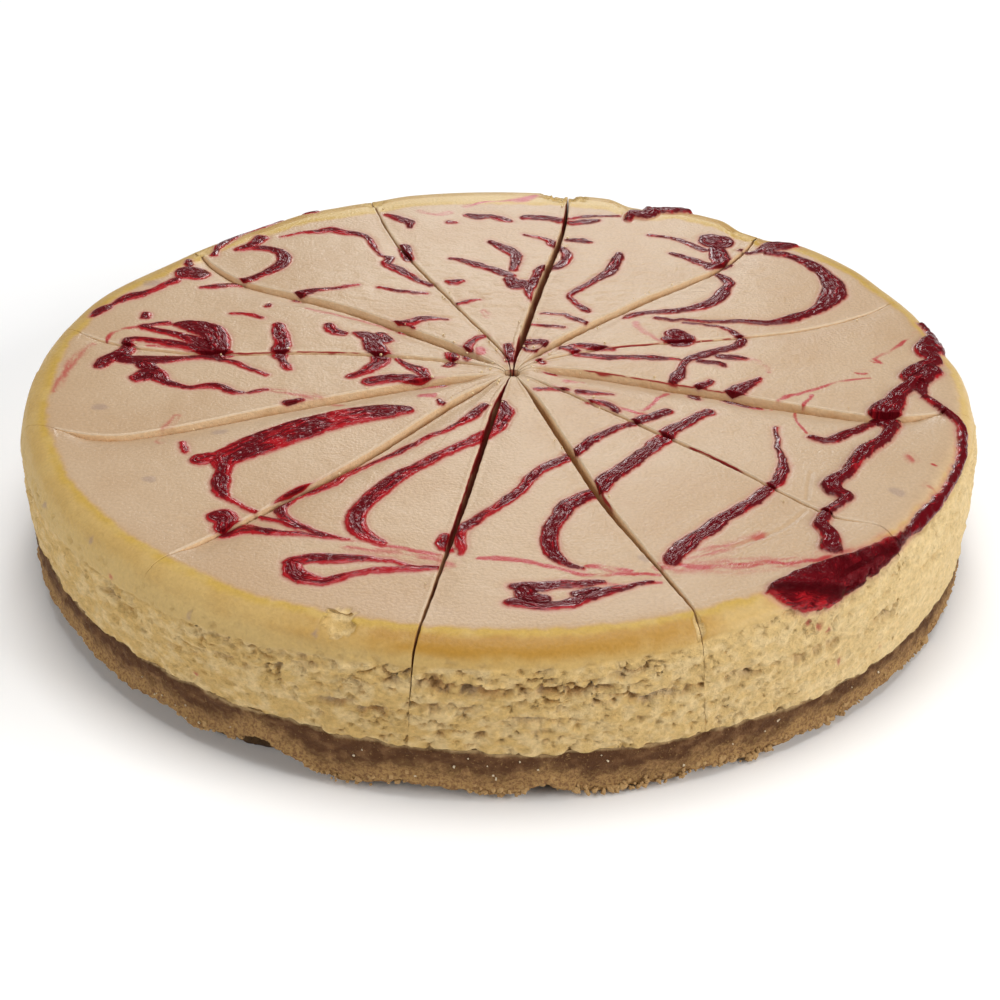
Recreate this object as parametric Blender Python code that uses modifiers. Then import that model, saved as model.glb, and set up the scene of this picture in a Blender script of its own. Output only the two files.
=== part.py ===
"""Whole baked cheesecake with a berry jam swirl, cut into twelve slices.

Each slice is two solids: the set filling and the biscuit crust under it. The
cake stands on z = 0 with its axis on +Z, and the side with the widest cut
faces -Y. Bearings are in degrees anticlockwise from +X, seen from above.
"""
import math
import random

import bmesh
import bpy
from mathutils import Vector, noise

MM = 0.001

# Overall sizes in mm.
CAKE_HEIGHT = 45.0
WALL_RADIUS = 128.0
LAYER_GAP = 0.3
COLUMNS = 152

# The line between filling and crust, as a height above the base. It drops
# from the left (-X) to the right (+X).
CRUST_LINE_MIDDLE = 15.0
CRUST_LINE_DROP = 3.6
CRUST_LINE_WAVE = 0.7

# Outer profile of the filling as (radius, depth below the top), from the
# flat of the top, over the rounded shoulder and down to the crust line.
FLAT_RADIUS = 104.0
SHOULDER = ((118.5, 0.0), (122.8, 0.5), (125.6, 2.2), (127.0, 4.8))
WALL = ((127.6, 7.4), (127.9, 9.8), (128.0, 12.2), (128.0, 14.6), (128.0, 17.0), (127.8, 19.4),
        (127.6, 21.8), (127.3, 24.2), (127.0, 26.6))
WALL_FOOT_RADIUS = 126.8

# Profile of the crust as (radius, share of the crust's own height).
CRUST_SIDE = ((126.4, 1.0), (126.3, 0.66), (125.9, 0.36), (124.9, 0.11), (121.5, 0.0))

# Where the rim stands further in (-) or out (+) than the round shape:
# bearing, half width in degrees, reach in mm.
RIM_SWELL = ((49.5, 7.0, -3.8), (68.0, 6.0, -4.0), (36.0, 11.0, 1.2), (10.0, 9.0, -1.2), (112.0, 9.0, -1.6),
             (137.0, 24.0, -3.8), (-32.0, 30.0, -0.6))

# Broken edges of the rim: bearing, half width in degrees, depth inwards, drop.
CHIPS = ((80.5, 3.4, 4.6, 6.0), (109.5, 1.9, 2.2, 2.4), (50.3, 2.0, 2.0, 3.0), (139.0, 2.0, 1.8, 2.0),
         (-107.2, 2.0, 2.6, 4.2), (-68.6, 1.6, 1.6, 2.0))

# Torn crevices in the wall: bearing, depth below the top, half length in
# degrees, half height in mm, depth inwards in mm.
CREVICES = ((-93.0, 11.8, 7.5, 1.8, 3.2), (-83.0, 12.4, 4.5, 1.7, 2.8), (-95.0, 17.0, 3.6, 1.5, 2.4),
            (-77.0, 9.6, 4.0, 1.4, 1.6), (-74.0, 16.4, 6.0, 1.6, 2.6), (-85.0, 20.6, 4.0, 1.4, 1.8),
            (-93.0, 25.4, 3.4, 1.4, 1.6), (-117.0, 15.2, 3.4, 1.3, 1.8), (-110.0, 9.0, 4.0, 1.4, 1.9),
            (-104.0, 20.0, 5.0, 1.5, 2.2), (-124.0, 17.2, 2.8, 1.3, 1.5), (-135.0, 13.4, 3.2, 1.3, 1.5),
            (-62.0, 16.8, 3.4, 1.6, 2.2), (-54.0, 17.2, 4.0, 1.5, 2.0), (-42.0, 18.6, 3.4, 2.6, 2.2),
            (-33.0, 13.4, 3.4, 1.3, 1.3))
HIDDEN_CREVICES = 26

# Notches in the ragged foot of the crust: bearing, half width in degrees,
# height, depth inwards.
FOOT_NOTCHES = ((-150.0, 7.0, 4.6, 3.0), (-130.5, 4.0, 4.2, 3.4), (-116.5, 3.6, 6.2, 4.6), (-98.5, 6.2, 3.8, 3.6),
                (-84.6, 3.6, 4.4, 4.0), (-68.5, 3.4, 3.4, 3.2), (-39.0, 5.0, 3.4, 3.0))
HIDDEN_NOTCHES = 17

# The knife cuts over the top: each runs from the meeting point smoothly
# through a few places in mm, and they are listed clockwise from the back.
MEETING_POINT = (3.5, 2.0)
CUT_LINES = (
    ((5, 15), (11.8, 55), (19.2, 95), (21.8, 132)),
    ((13.5, 17.5), (40, 45), (63, 66), (75, 84), (85, 108)),
    ((14, 10.5), (35, 18), (80, 26.3), (104, 38), (126, 60)),
    ((12, 4.8), (45, -4), (80, -15.8), (102, -21), (136, -15)),
    ((20, -10.5), (55, -43.5), (80, -69.5), (94, -77), (103, -100)),
    ((10, -14), (27, -67.5), (44.6, -112), (48, -134)),
    ((-0.5, -15), (-7.6, -60), (-16, -110), (-20.4, -135)),
    ((-10, -12), (-38, -48.5), (-75, -87.5), (-96, -105)),
    ((-20, -3.6), (-55, -17.3), (-95, -33.2), (-113, -31), (-134, -17)),
    ((-12, 8.6), (-45, 13.2), (-85, 12.6), (-112, 20.3), (-130, 37)),
    ((-14, 18.5), (-42, 39), (-76, 58), (-92, 78.5), (-102, 93)),
    ((0.5, 15), (-12, 41), (-32, 85.5), (-44, 131)),
)
CUT_STATIONS = (3.0, 11.0, 25.0, 43.0, 63.0, 82.0, 97.0, 107.0, 116.0, 125.0, 142.0)

# How wide each cut stands open at the top, halfway out and at the rim.
CUT_OPEN_MIDDLE = (3.0, 1.6, 0.9, 1.5, 0.8, 1.8, 2.4, 1.2, 1.8, 0.9, 1.5, 1.1)
CUT_OPEN_RIM = (1.1, 0.9, 0.7, 0.8, 0.7, 0.8, 0.8, 0.7, 0.9, 0.7, 0.9, 0.8)
CUT_OPEN_FOOT = 0.5
CUT_OPEN_TIP = 0.6
BLADE_OVERRUN = 4.0

# Thick jam that stands above the top. Each rope runs smoothly through a few
# places (x, y, half width) in mm.
JAM_CREST = 1.3
ROPE_STEP = 7.0
SHOULDER_START = 121.0
SHOULDER_FALL = 0.06
JAM_ROPES = (
    ((121, 32, 1.6), (121, 18, 3.6), (107, -9, 3.8), (101, -21, 4.8), (84, -56, 2.8), (79, -69, 2.0),
     (80, -86, 2.8)),
    ((101, -21, 3.4), (94, -29, 2.6), (84, -33.5, 2.2)),
    ((68, -102, 3.6), (84, -93.5, 5.2), (101, -76, 3.4), (114, -51, 2.0)),
    ((-22, -19, 2.0), (-44, -26, 4.6), (-66, -42, 5.0), (-69, -56, 2.6), (-68, -63, 1.8)),
    ((0.6, -16, 1.4), (-4, -32, 2.4), (-24, -51, 2.8), (-33.5, -74, 2.8), (-31, -82, 2.0)),
    ((55, -20, 1.4), (38, -40, 2.6), (14, -72, 2.6), (17, -93, 1.2)),
    ((79, 84, 2.2), (97, 57, 3.6), (86, 36, 2.4), (76, 32, 1.6)),
    ((2, -108, 2.0), (10, -107, 4.0), (27, -104, 1.8)),
    ((-84, 29, 3.0), (-79, 25, 3.6), (-77, 17, 3.0)),
)

# Points closer than this are one, in metres.
WELD = 0.00001
SLIVER = 0.00005

FILLING_COLOUR = (0.66, 0.47, 0.24, 1.0)
CRUST_COLOUR = (0.26, 0.155, 0.075, 1.0)


def clear_scene():
    """Start from an empty file."""
    for obj in list(bpy.data.objects):
        bpy.data.objects.remove(obj, do_unlink=True)
    for block in (bpy.data.meshes, bpy.data.curves, bpy.data.materials):
        for item in list(block):
            block.remove(item)
    for group in list(bpy.data.collections):
        bpy.data.collections.remove(group)


def make_material(name, colour, roughness):
    """Return a plain Principled material."""
    mat = bpy.data.materials.new(name)
    mat.use_nodes = True
    shader = mat.node_tree.nodes["Principled BSDF"]
    shader.inputs["Base Color"].default_value = colour
    shader.inputs["Roughness"].default_value = roughness
    mat.diffuse_color = colour
    return mat


def ease(low, high, value):
    """Go smoothly from 0 at low to 1 at high."""
    t = min(1.0, max(0.0, (value - low) / (high - low)))
    return t * t * (3.0 - 2.0 * t)


def turn_between(a, b):
    """Smallest turn from bearing b to bearing a, in degrees."""
    return (a - b + 180.0) % 360.0 - 180.0


def crust_line(x, y):
    """Height of the line between filling and crust: a slope, wavy at the wall."""
    wave = noise.noise(Vector((x / 17.0, y / 17.0, 4.0))) * ease(112.0, 124.0, math.hypot(x, y))
    return CRUST_LINE_MIDDLE - CRUST_LINE_DROP * x / WALL_RADIUS + CRUST_LINE_WAVE * wave


def rim_swell(bearing):
    """Rim position against the round shape at a bearing."""
    reach = 0.0
    for where, half_width, amount in RIM_SWELL:
        across = abs(turn_between(bearing, where)) / half_width
        reach += amount * (1.0 - ease(0.25, 1.0, across))
    return reach


def smooth_line(places, distances):
    """Points on the smooth curve through the places, at distances along it.

    The curve leaves each place in the direction of its neighbours, weighed by
    how near they are.
    """
    knots = [0.0]
    for before, after in zip(places, places[1:]):
        knots.append(knots[-1] + (after - before).length)
    slopes = []
    for index, place in enumerate(places):
        first = max(index - 1, 0)
        last = min(index + 1, len(places) - 1)
        slopes.append((places[last] - places[first]) / (knots[last] - knots[first]))
    points = []
    for distance in distances:
        distance = min(distance, knots[-1])
        span = 0
        while span < len(places) - 2 and distance > knots[span + 1]:
            span += 1
        length = knots[span + 1] - knots[span]
        t = (distance - knots[span]) / length
        start_pull = t * (1.0 - t) * (1.0 - t) * length
        end_pull = t * t * (t - 1.0) * length
        blend = t * t * (3.0 - 2.0 * t)
        points.append(places[span].lerp(places[span + 1], blend) + slopes[span] * start_pull
                      + slopes[span + 1] * end_pull)
    return points


def hidden_crevices():
    """Crevices for the side away from the front, like the ones in front."""
    dice = random.Random(12)
    made = []
    for index in range(HIDDEN_CREVICES):
        bearing = -18.0 + 222.0 * (index + dice.uniform(0.1, 0.9)) / HIDDEN_CREVICES
        made.append((bearing, dice.uniform(9.0, 25.0), dice.uniform(2.2, 4.6), dice.uniform(1.2, 1.6),
                     dice.uniform(1.2, 2.4)))
    return made


def hidden_notches():
    """Notches in the crust's foot for the side away from the front."""
    dice = random.Random(31)
    made = []
    for index in range(HIDDEN_NOTCHES):
        bearing = -16.0 + 214.0 * (index + dice.uniform(0.1, 0.9)) / HIDDEN_NOTCHES
        made.append((bearing, dice.uniform(2.4, 5.0), dice.uniform(2.0, 4.6), dice.uniform(1.8, 3.6)))
    return made


def bump_at(across, up):
    """Round bump that is 1 in its middle and 0 outside of one unit."""
    return max(0.0, 1.0 - across * across - up * up)


def wall_depth(bearing, drop, crevices):
    """How far the wall is torn inwards at a bearing and depth below the top."""
    torn = 0.0
    for where, below, half_length, half_height, depth in crevices:
        across = turn_between(bearing, where) / half_length
        torn = max(torn, depth * bump_at(across, (drop - below) / half_height))
    turn = math.radians(bearing)
    point = Vector((math.cos(turn) * 9.0, math.sin(turn) * 9.0, drop / 4.2))
    crumb = max(0.0, noise.noise(point) + 0.18)
    return torn + 1.15 * crumb * ease(6.5, 10.0, drop)


def chip_at(bearing):
    """Depth and drop of a broken rim edge at a bearing."""
    inwards = 0.0
    down = 0.0
    for where, half_width, depth, drop in CHIPS:
        share = bump_at(turn_between(bearing, where) / half_width, 0.0)
        inwards = max(inwards, depth * math.sqrt(share))
        down = max(down, drop * math.sqrt(share))
    return inwards, down


def mesh_of(obj):
    """Turn an object with its modifiers into a plain mesh object."""
    name = obj.name
    graph = bpy.context.evaluated_depsgraph_get()
    graph.update()
    mesh = bpy.data.meshes.new_from_object(obj.evaluated_get(graph))
    bpy.data.objects.remove(obj, do_unlink=True)
    made = bpy.data.objects.new(name, mesh)
    bpy.context.scene.collection.objects.link(made)
    return made


def spin_profile(name, profile):
    """Turn a half section of (radius, height) points about the axis."""
    mesh = bpy.data.meshes.new(name)
    points = [(r * MM, 0.0, z * MM) for r, z in profile]
    edges = [(i, i + 1) for i in range(len(points) - 1)]
    mesh.from_pydata(points, edges, [])
    obj = bpy.data.objects.new(name, mesh)
    bpy.context.scene.collection.objects.link(obj)
    screw = obj.modifiers.new("turn", "SCREW")
    screw.axis = "Z"
    screw.angle = math.tau
    screw.steps = COLUMNS
    screw.render_steps = COLUMNS
    screw.use_merge_vertices = True
    screw.merge_threshold = WELD
    screw.use_normal_calculate = True
    return mesh_of(obj)


def close_up(obj):
    """Weld the seam, fill the flat ends and face everything outwards."""
    bm = bmesh.new()
    bm.from_mesh(obj.data)
    bmesh.ops.remove_doubles(bm, verts=bm.verts, dist=WELD)
    bmesh.ops.triangulate(bm, faces=[face for face in bm.faces if len(face.verts) == 4])
    bmesh.ops.holes_fill(bm, edges=[edge for edge in bm.edges if edge.is_boundary], sides=0)
    bmesh.ops.recalc_face_normals(bm, faces=bm.faces)
    bm.to_mesh(obj.data)
    bm.free()


def make_filling():
    """Whole filling before it is cut: smooth top, round shoulder, torn wall."""
    top = CAKE_HEIGHT
    profile = [(FLAT_RADIUS, top)]
    profile += [(r, top - d) for r, d in SHOULDER + WALL]
    profile += [(WALL_FOOT_RADIUS, CRUST_LINE_MIDDLE), (FLAT_RADIUS, CRUST_LINE_MIDDLE)]
    body = spin_profile("filling", profile)
    crevices = CREVICES + tuple(hidden_crevices())
    last_wall = WALL[-1][1]
    for vertex in body.data.vertices:
        x, y, z = vertex.co / MM
        radius = math.hypot(x, y)
        bearing = math.degrees(math.atan2(y, x))
        drop = top - z
        outer = ease(FLAT_RADIUS, 119.0, radius)
        upper = 1.0 - 0.75 * ease(6.0, 22.0, drop)
        new_radius = radius + rim_swell(bearing) * outer * upper
        if z < CRUST_LINE_MIDDLE + 0.5:
            z = crust_line(x, y) + LAYER_GAP
        elif radius > 118.0:
            inwards, down = chip_at(bearing)
            near_rim = 1.0 - ease(2.4, 7.6, drop)
            new_radius -= inwards * near_rim + wall_depth(bearing, drop, crevices)
            share = drop / last_wall
            line_shift = crust_line(x, y) - CRUST_LINE_MIDDLE
            z += share * share * line_shift - down * near_rim * ease(117.0, 123.0, radius)
            z += 0.5 * noise.noise(Vector((x / 21.0, y / 21.0, 9.0)))
        scale = new_radius / radius
        vertex.co = Vector((x * scale, y * scale, z)) * MM
    close_up(body)
    return body


def make_crust():
    """Whole biscuit crust before it is cut: wavy top, ragged foot, flat base."""
    height = CRUST_LINE_MIDDLE
    profile = [(FLAT_RADIUS, height)]
    profile += [(r, share * height) for r, share in CRUST_SIDE]
    body = spin_profile("crust", profile)
    notches = FOOT_NOTCHES + tuple(hidden_notches())
    for vertex in body.data.vertices:
        x, y, z = vertex.co / MM
        radius = math.hypot(x, y)
        share = z / height
        z = share * crust_line(x, y)
        if radius < FLAT_RADIUS + 1.0:
            vertex.co.z = z * MM
            continue
        bearing = math.degrees(math.atan2(y, x))
        grain = noise.noise(Vector((x / 6.0, y / 6.0, z / 3.0)))
        inwards = 0.7 * max(0.0, grain + 0.25)
        if share < 0.4:
            for where, half_width, tall, depth in notches:
                part = bump_at(turn_between(bearing, where) / half_width, 0.0)
                inwards = max(inwards, depth * part * (1.0 - ease(0.5 * tall, tall + 1.2, z)))
                if share > 0.01:
                    z = z + 0.35 * tall * part * (1.0 - share / 0.4)
        scale = (radius - inwards) / radius
        vertex.co = Vector((x * scale, y * scale, z)) * MM
    close_up(body)
    return body


def make_rope(name, rope):
    """One thick jam line, as a bevelled curve pressed flat onto the top."""
    curve = bpy.data.curves.new(name, "CURVE")
    curve.dimensions = "3D"
    curve.bevel_depth = MM
    curve.bevel_resolution = 1
    curve.use_fill_caps = True
    places = [Vector(place) for place in rope]
    length = sum((after - before).length for before, after in zip(places, places[1:]))
    count = max(3, round(length / ROPE_STEP))
    stations = smooth_line(places, [length * step / count for step in range(count + 1)])
    spline = curve.splines.new("POLY")
    spline.points.add(len(stations) - 1)
    for point, (x, y, half_width) in zip(spline.points, stations):
        point.co = (x * MM, y * MM, 0.0, 1.0)
        point.radius = half_width
    obj = bpy.data.objects.new(name, curve)
    bpy.context.scene.collection.objects.link(obj)
    solid = mesh_of(obj)
    bpy.data.curves.remove(curve)
    widest = max(point[2] for point in rope)
    for vertex in solid.data.vertices:
        x, y, z = vertex.co / MM
        past_rim = max(0.0, math.hypot(x, y) - SHOULDER_START)
        level = CAKE_HEIGHT - SHOULDER_FALL * past_rim * past_rim
        lift = z / widest * JAM_CREST
        vertex.co = Vector((x, y, level + lift)) * MM
    close_up(solid)
    return solid


def fuse_jam(filling):
    """Join all jam ropes to the filling in one union."""
    ropes = bpy.data.collections.new("jam_ropes")
    bpy.context.scene.collection.children.link(ropes)
    for index, rope in enumerate(JAM_ROPES):
        solid = make_rope("jam_%02d" % (index + 1), rope)
        bpy.context.scene.collection.objects.unlink(solid)
        ropes.objects.link(solid)
    step = filling.modifiers.new("jam", "BOOLEAN")
    step.operation = "UNION"
    step.solver = "EXACT"
    step.operand_type = "COLLECTION"
    step.collection = ropes
    made = mesh_of(filling)
    for solid in list(ropes.objects):
        bpy.data.objects.remove(solid, do_unlink=True)
    bpy.data.collections.remove(ropes)
    return made


def keep_inside(target, block):
    """Keep what lies inside the block, and drop the block."""
    step = target.modifiers.new("cut", "BOOLEAN")
    step.operation = "INTERSECT"
    step.solver = "EXACT"
    step.object = block
    made = mesh_of(target)
    bpy.data.objects.remove(block, do_unlink=True)
    return made


def cut_side(index, side, level):
    """Edge of one cut as points, opened to one side; level 1 is the top."""
    places = [Vector(MEETING_POINT)] + [Vector(place) for place in CUT_LINES[index]]
    path = smooth_line(places, (0.0,) + CUT_STATIONS)
    points = []
    for here in range(1, len(path)):
        before = path[here - 1]
        after = path[min(here + 1, len(path) - 1)]
        along = (after - before).normalized()
        across = Vector((along.y, -along.x)) * side
        out = (path[here] - path[0]).length
        narrowing = CUT_OPEN_RIM[index] - CUT_OPEN_MIDDLE[index]
        open_here = CUT_OPEN_MIDDLE[index] + narrowing * ease(70.0, 122.0, out)
        wide = CUT_OPEN_TIP + (open_here - CUT_OPEN_TIP) * ease(4.0, 22.0, out)
        wide = CUT_OPEN_FOOT + (wide - CUT_OPEN_FOOT) * level
        points.append(path[here] + across * wide * 0.5)
    return points


def make_sector(index):
    """Knife-shaped block that keeps one slice: cut index to the next one."""
    following = (index + 1) % len(CUT_LINES)
    rings = []
    for level in (0.0, 1.0):
        start_side = cut_side(index, 1.0, level)
        end_side = cut_side(following, -1.0, level)
        far_out = (start_side[-1] + end_side[-1]).normalized() * 1.12 * WALL_RADIUS
        rings.append(start_side + [far_out] + end_side[::-1])
    bm = bmesh.new()
    low = [bm.verts.new((p.x * MM, p.y * MM, -BLADE_OVERRUN * MM)) for p in rings[0]]
    floor = bm.faces.new(low)
    grown = bmesh.ops.extrude_face_region(bm, geom=[floor])
    fresh = [item for item in grown["geom"] if isinstance(item, bmesh.types.BMVert)]
    for vertex in fresh:
        nearest = min(range(len(low)), key=lambda i: (low[i].co - vertex.co).length)
        p = rings[1][nearest]
        vertex.co = Vector((p.x * MM, p.y * MM, (CAKE_HEIGHT + BLADE_OVERRUN) * MM))
    bmesh.ops.triangulate(bm, faces=[f for f in bm.faces if len(f.verts) == 4])
    bmesh.ops.recalc_face_normals(bm, faces=bm.faces)
    mesh = bpy.data.meshes.new("sector")
    bm.to_mesh(mesh)
    bm.free()
    obj = bpy.data.objects.new("sector_%02d" % (index + 1), mesh)
    bpy.context.scene.collection.objects.link(obj)
    return obj


def tidy_solid(obj):
    """Merge sliver points, keep the main shell and shade it smooth."""
    bm = bmesh.new()
    bm.from_mesh(obj.data)
    bmesh.ops.triangulate(bm, faces=bm.faces)
    bmesh.ops.remove_doubles(bm, verts=bm.verts, dist=SLIVER)
    bmesh.ops.dissolve_degenerate(bm, edges=bm.edges, dist=SLIVER)
    bmesh.ops.triangulate(bm, faces=bm.faces)
    shells = []
    waiting = set(bm.faces)
    while waiting:
        shell = set()
        edge_of_shell = [waiting.pop()]
        while edge_of_shell:
            face = edge_of_shell.pop()
            shell.add(face)
            for edge in face.edges:
                for other in edge.link_faces:
                    if other in waiting:
                        waiting.discard(other)
                        edge_of_shell.append(other)
        shells.append(shell)
    shells.sort(key=len)
    loose = [face for shell in shells[:-1] for face in shell]
    bmesh.ops.delete(bm, geom=loose, context="FACES")
    bmesh.ops.delete(bm, geom=[v for v in bm.verts if not v.link_faces], context="VERTS")
    bmesh.ops.recalc_face_normals(bm, faces=bm.faces)
    bm.to_mesh(obj.data)
    bm.free()
    obj.data.shade_smooth()
    obj.data.set_sharp_from_angle(angle=math.radians(32.0))


def copy_of(obj, name):
    """Plain copy with its own mesh."""
    twin = bpy.data.objects.new(name, obj.data.copy())
    twin.data.name = name
    bpy.context.scene.collection.objects.link(twin)
    return twin


def cut_into_slices(body, prefix, material, group):
    """Cut a whole layer into its slices and drop the whole."""
    slices = []
    for index in range(len(CUT_LINES)):
        piece = copy_of(body, "%s_%02d" % (prefix, index + 1))
        piece = keep_inside(piece, make_sector(index))
        tidy_solid(piece)
        piece.data.name = piece.name
        piece.data.materials.clear()
        piece.data.materials.append(material)
        bpy.context.scene.collection.objects.unlink(piece)
        group.objects.link(piece)
        slices.append(piece)
    bpy.data.objects.remove(body, do_unlink=True)
    return slices


def centre_on_axis(pieces):
    """Move all pieces so that the middle of their box is on the axis."""
    spots = [vertex.co for piece in pieces for vertex in piece.data.vertices]
    shift = Vector((
        -0.5 * (min(p.x for p in spots) + max(p.x for p in spots)),
        -0.5 * (min(p.y for p in spots) + max(p.y for p in spots)),
        -min(p.z for p in spots)))
    for piece in pieces:
        for vertex in piece.data.vertices:
            vertex.co += shift


def main():
    """Build the cake and cut it."""
    clear_scene()
    group = bpy.data.collections.new("berry_swirl_cheesecake")
    bpy.context.scene.collection.children.link(group)
    filling_material = make_material("baked_filling", FILLING_COLOUR, 0.5)
    crust_material = make_material("biscuit_crust", CRUST_COLOUR, 0.9)
    filling = fuse_jam(make_filling())
    slices = cut_into_slices(filling, "filling", filling_material, group)
    slices += cut_into_slices(make_crust(), "crust", crust_material, group)
    centre_on_axis(slices)
    for mesh in [mesh for mesh in bpy.data.meshes if not mesh.users]:
        bpy.data.meshes.remove(mesh)


main()
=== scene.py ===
"""Fine surfaces and finishes of a berry swirl cheesecake cut into twelve slices.

Lengths in the classes are in mm and are turned into metres when a mesh is
made. Bearings are in degrees anticlockwise from +X, seen from above.
"""
import logging
import math
from dataclasses import dataclass, field
from enum import Enum
from itertools import product
from typing import Any, Optional, Sequence

import bpy
import numpy as np
from mathutils import Matrix, Vector


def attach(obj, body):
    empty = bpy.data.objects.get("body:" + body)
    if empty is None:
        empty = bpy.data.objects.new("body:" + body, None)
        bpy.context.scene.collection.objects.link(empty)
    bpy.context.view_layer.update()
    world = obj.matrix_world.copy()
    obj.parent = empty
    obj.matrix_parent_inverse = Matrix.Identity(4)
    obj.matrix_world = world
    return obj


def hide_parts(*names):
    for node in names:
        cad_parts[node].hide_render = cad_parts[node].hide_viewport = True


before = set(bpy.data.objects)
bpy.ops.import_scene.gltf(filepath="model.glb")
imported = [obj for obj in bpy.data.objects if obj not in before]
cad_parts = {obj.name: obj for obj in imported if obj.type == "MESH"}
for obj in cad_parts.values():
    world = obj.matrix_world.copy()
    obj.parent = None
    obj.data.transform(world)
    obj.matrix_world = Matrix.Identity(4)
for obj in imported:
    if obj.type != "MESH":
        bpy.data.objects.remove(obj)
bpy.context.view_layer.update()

Array = np.ndarray
Places = tuple[tuple[float, ...], ...]
MM = 0.001
SLICES = 12
# A distance beyond which jam has no effect, in mm.
FAR = 9.0
# How much finer each layer of noise is than the last.
FINER = 2.03


class Side(Enum):
    """The two cut faces of a slice: the anticlockwise one and the clockwise one."""

    START = 1
    END = -1

    @property
    def column(self) -> int:
        """Return the column of a slice's grid that lies on this face."""
        return 0 if self is Side.START else -1


# Helpers.


def ease(low: float, high: float, value: Array) -> Array:
    """Go smoothly from 0 at low to 1 at high, as 3t^2 - 2t^3.

    Args:
        low: Value where the step starts.
        high: Value where it ends; it may be below low.
        value: Values to place on the step.

    Returns:
        Array of shares from 0 to 1.
    """
    t = np.clip((value - low) / (high - low), 0.0, 1.0)
    return t * t * (3.0 - 2.0 * t)


def turn(bearing: Array, other: float) -> Array:
    """Return the smallest turn from one bearing to another, in degrees."""
    return (bearing - other + 180.0) % 360.0 - 180.0


def around_at(bearing: Array, radius: Any) -> tuple[Array, Array]:
    """Return x and y at a bearing in degrees and a radius about the axis."""
    around = np.radians(bearing)
    return np.cos(around) * radius, np.sin(around) * radius


def by_bearing(rows: Places, bearing: Array, column: int = 1) -> Array:
    """Return a column of a table by bearing, in straight lines between its rows."""
    table = np.array(rows)
    return np.interp(turn(bearing, 0.0), table[:, 0], table[:, column])


def bearing_of(x: Array, y: Array) -> Array:
    """Return the bearing of a place about the axis, in degrees."""
    return np.degrees(np.arctan2(y, x))


def scatter_value(ix: Array, iy: Array, iz: Array, seed: int) -> Array:
    """Return a fixed value from -1 to 1 for each whole-number corner, mixed from its bits."""
    mixed = (ix * 73856093) ^ (iy * 19349663) ^ (iz * 83492791) ^ (seed * 2654435761)
    mixed &= 0xFFFFFFFF
    for _ in range(2):
        mixed = (((mixed >> 16) ^ mixed) * 0x45D9F3B) & 0xFFFFFFFF
    mixed = (mixed >> 16) ^ mixed
    return mixed / 2147483648.0 - 1.0


def grain(x: Array, y: Array, z: Array, seed: int = 0) -> Array:
    """Smooth noise: corner values of a unit lattice, blended by 6t^5 - 15t^4 + 10t^3.

    Args:
        x: First coordinate, in lattice steps.
        y: Second coordinate.
        z: Third coordinate.
        seed: Chooses the field.

    Returns:
        Values between about -1 and 1.
    """
    x, y, z = np.broadcast_arrays(x, y, z)
    low = [np.floor(axis).astype(np.int64) for axis in (x, y, z)]
    part = [axis - base for axis, base in zip((x, y, z), low)]
    soft = [t * t * t * (t * (t * 6.0 - 15.0) + 10.0) for t in part]
    total = np.zeros(x.shape)
    for corner in product((0, 1), repeat=3):
        weight = np.ones(x.shape)
        for axis in range(3):
            weight = weight * (soft[axis] if corner[axis] else 1.0 - soft[axis])
        total += weight * scatter_value(*(low[axis] + corner[axis] for axis in range(3)), seed)
    return total


def layers(x: Array, y: Array, z: Array, seed: int, octaves: int = 3) -> Array:
    """Sum of grain fields, each about twice as fine and half as strong as the last.

    Where it is called, each coordinate is divided by the size of the features
    along it, in mm, and the number after the coordinates is the field's seed.

    Args:
        x: First coordinate, in feature sizes.
        y: Second coordinate.
        z: Third coordinate.
        seed: Chooses the field.
        octaves: Number of fields.

    Returns:
        Values between about -1 and 1.
    """
    total = np.zeros(np.broadcast(x, y, z).shape)
    strength = 1.0
    norm = 0.0
    for step in range(octaves):
        scale = FINER ** step
        total += strength * grain(x * scale + 7.3 * step, y * scale - 3.1 * step, z * scale, seed + step)
        norm += strength
        strength *= 0.5
    return total / norm


def smooth_path(places: Array, stations: Array) -> Array:
    """Points on the smooth curve through the places.

    Between two places the curve is (1 - b) p + b q, with b = 3t^2 - 2t^3, plus
    the end slopes times t (1 - t)^2 and t^2 (t - 1).

    Args:
        places: Rows of coordinates, at least two.
        stations: Distances along the chain of places.

    Returns:
        One row of coordinates for each station.
    """
    knots = np.concatenate(([0.0], np.cumsum(np.linalg.norm(np.diff(places[:, :2], axis=0), axis=1))))
    first = np.maximum(np.arange(len(places)) - 1, 0)
    last = np.minimum(np.arange(len(places)) + 1, len(places) - 1)
    slopes = (places[last] - places[first]) / (knots[last] - knots[first])[:, None]
    here = np.clip(stations, 0.0, knots[-1])
    span = np.clip(np.searchsorted(knots, here, side="right") - 1, 0, len(places) - 2)
    length = (knots[span + 1] - knots[span])[:, None]
    t = ((here - knots[span]) / length[:, 0])[:, None]
    blend = t * t * (3.0 - 2.0 * t)
    bent = slopes[span] * t * (1.0 - t) ** 2 * length + slopes[span + 1] * t * t * (t - 1.0) * length
    return places[span] * (1.0 - blend) + places[span + 1] * blend + bent


def blend(one: Any, two: Any, share: Array) -> Array:
    """Return colour one where the share is 0 and two where it is 1."""
    weight = np.asarray(share)[..., None]
    return np.asarray(one) * (1.0 - weight) + np.asarray(two) * weight


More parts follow.
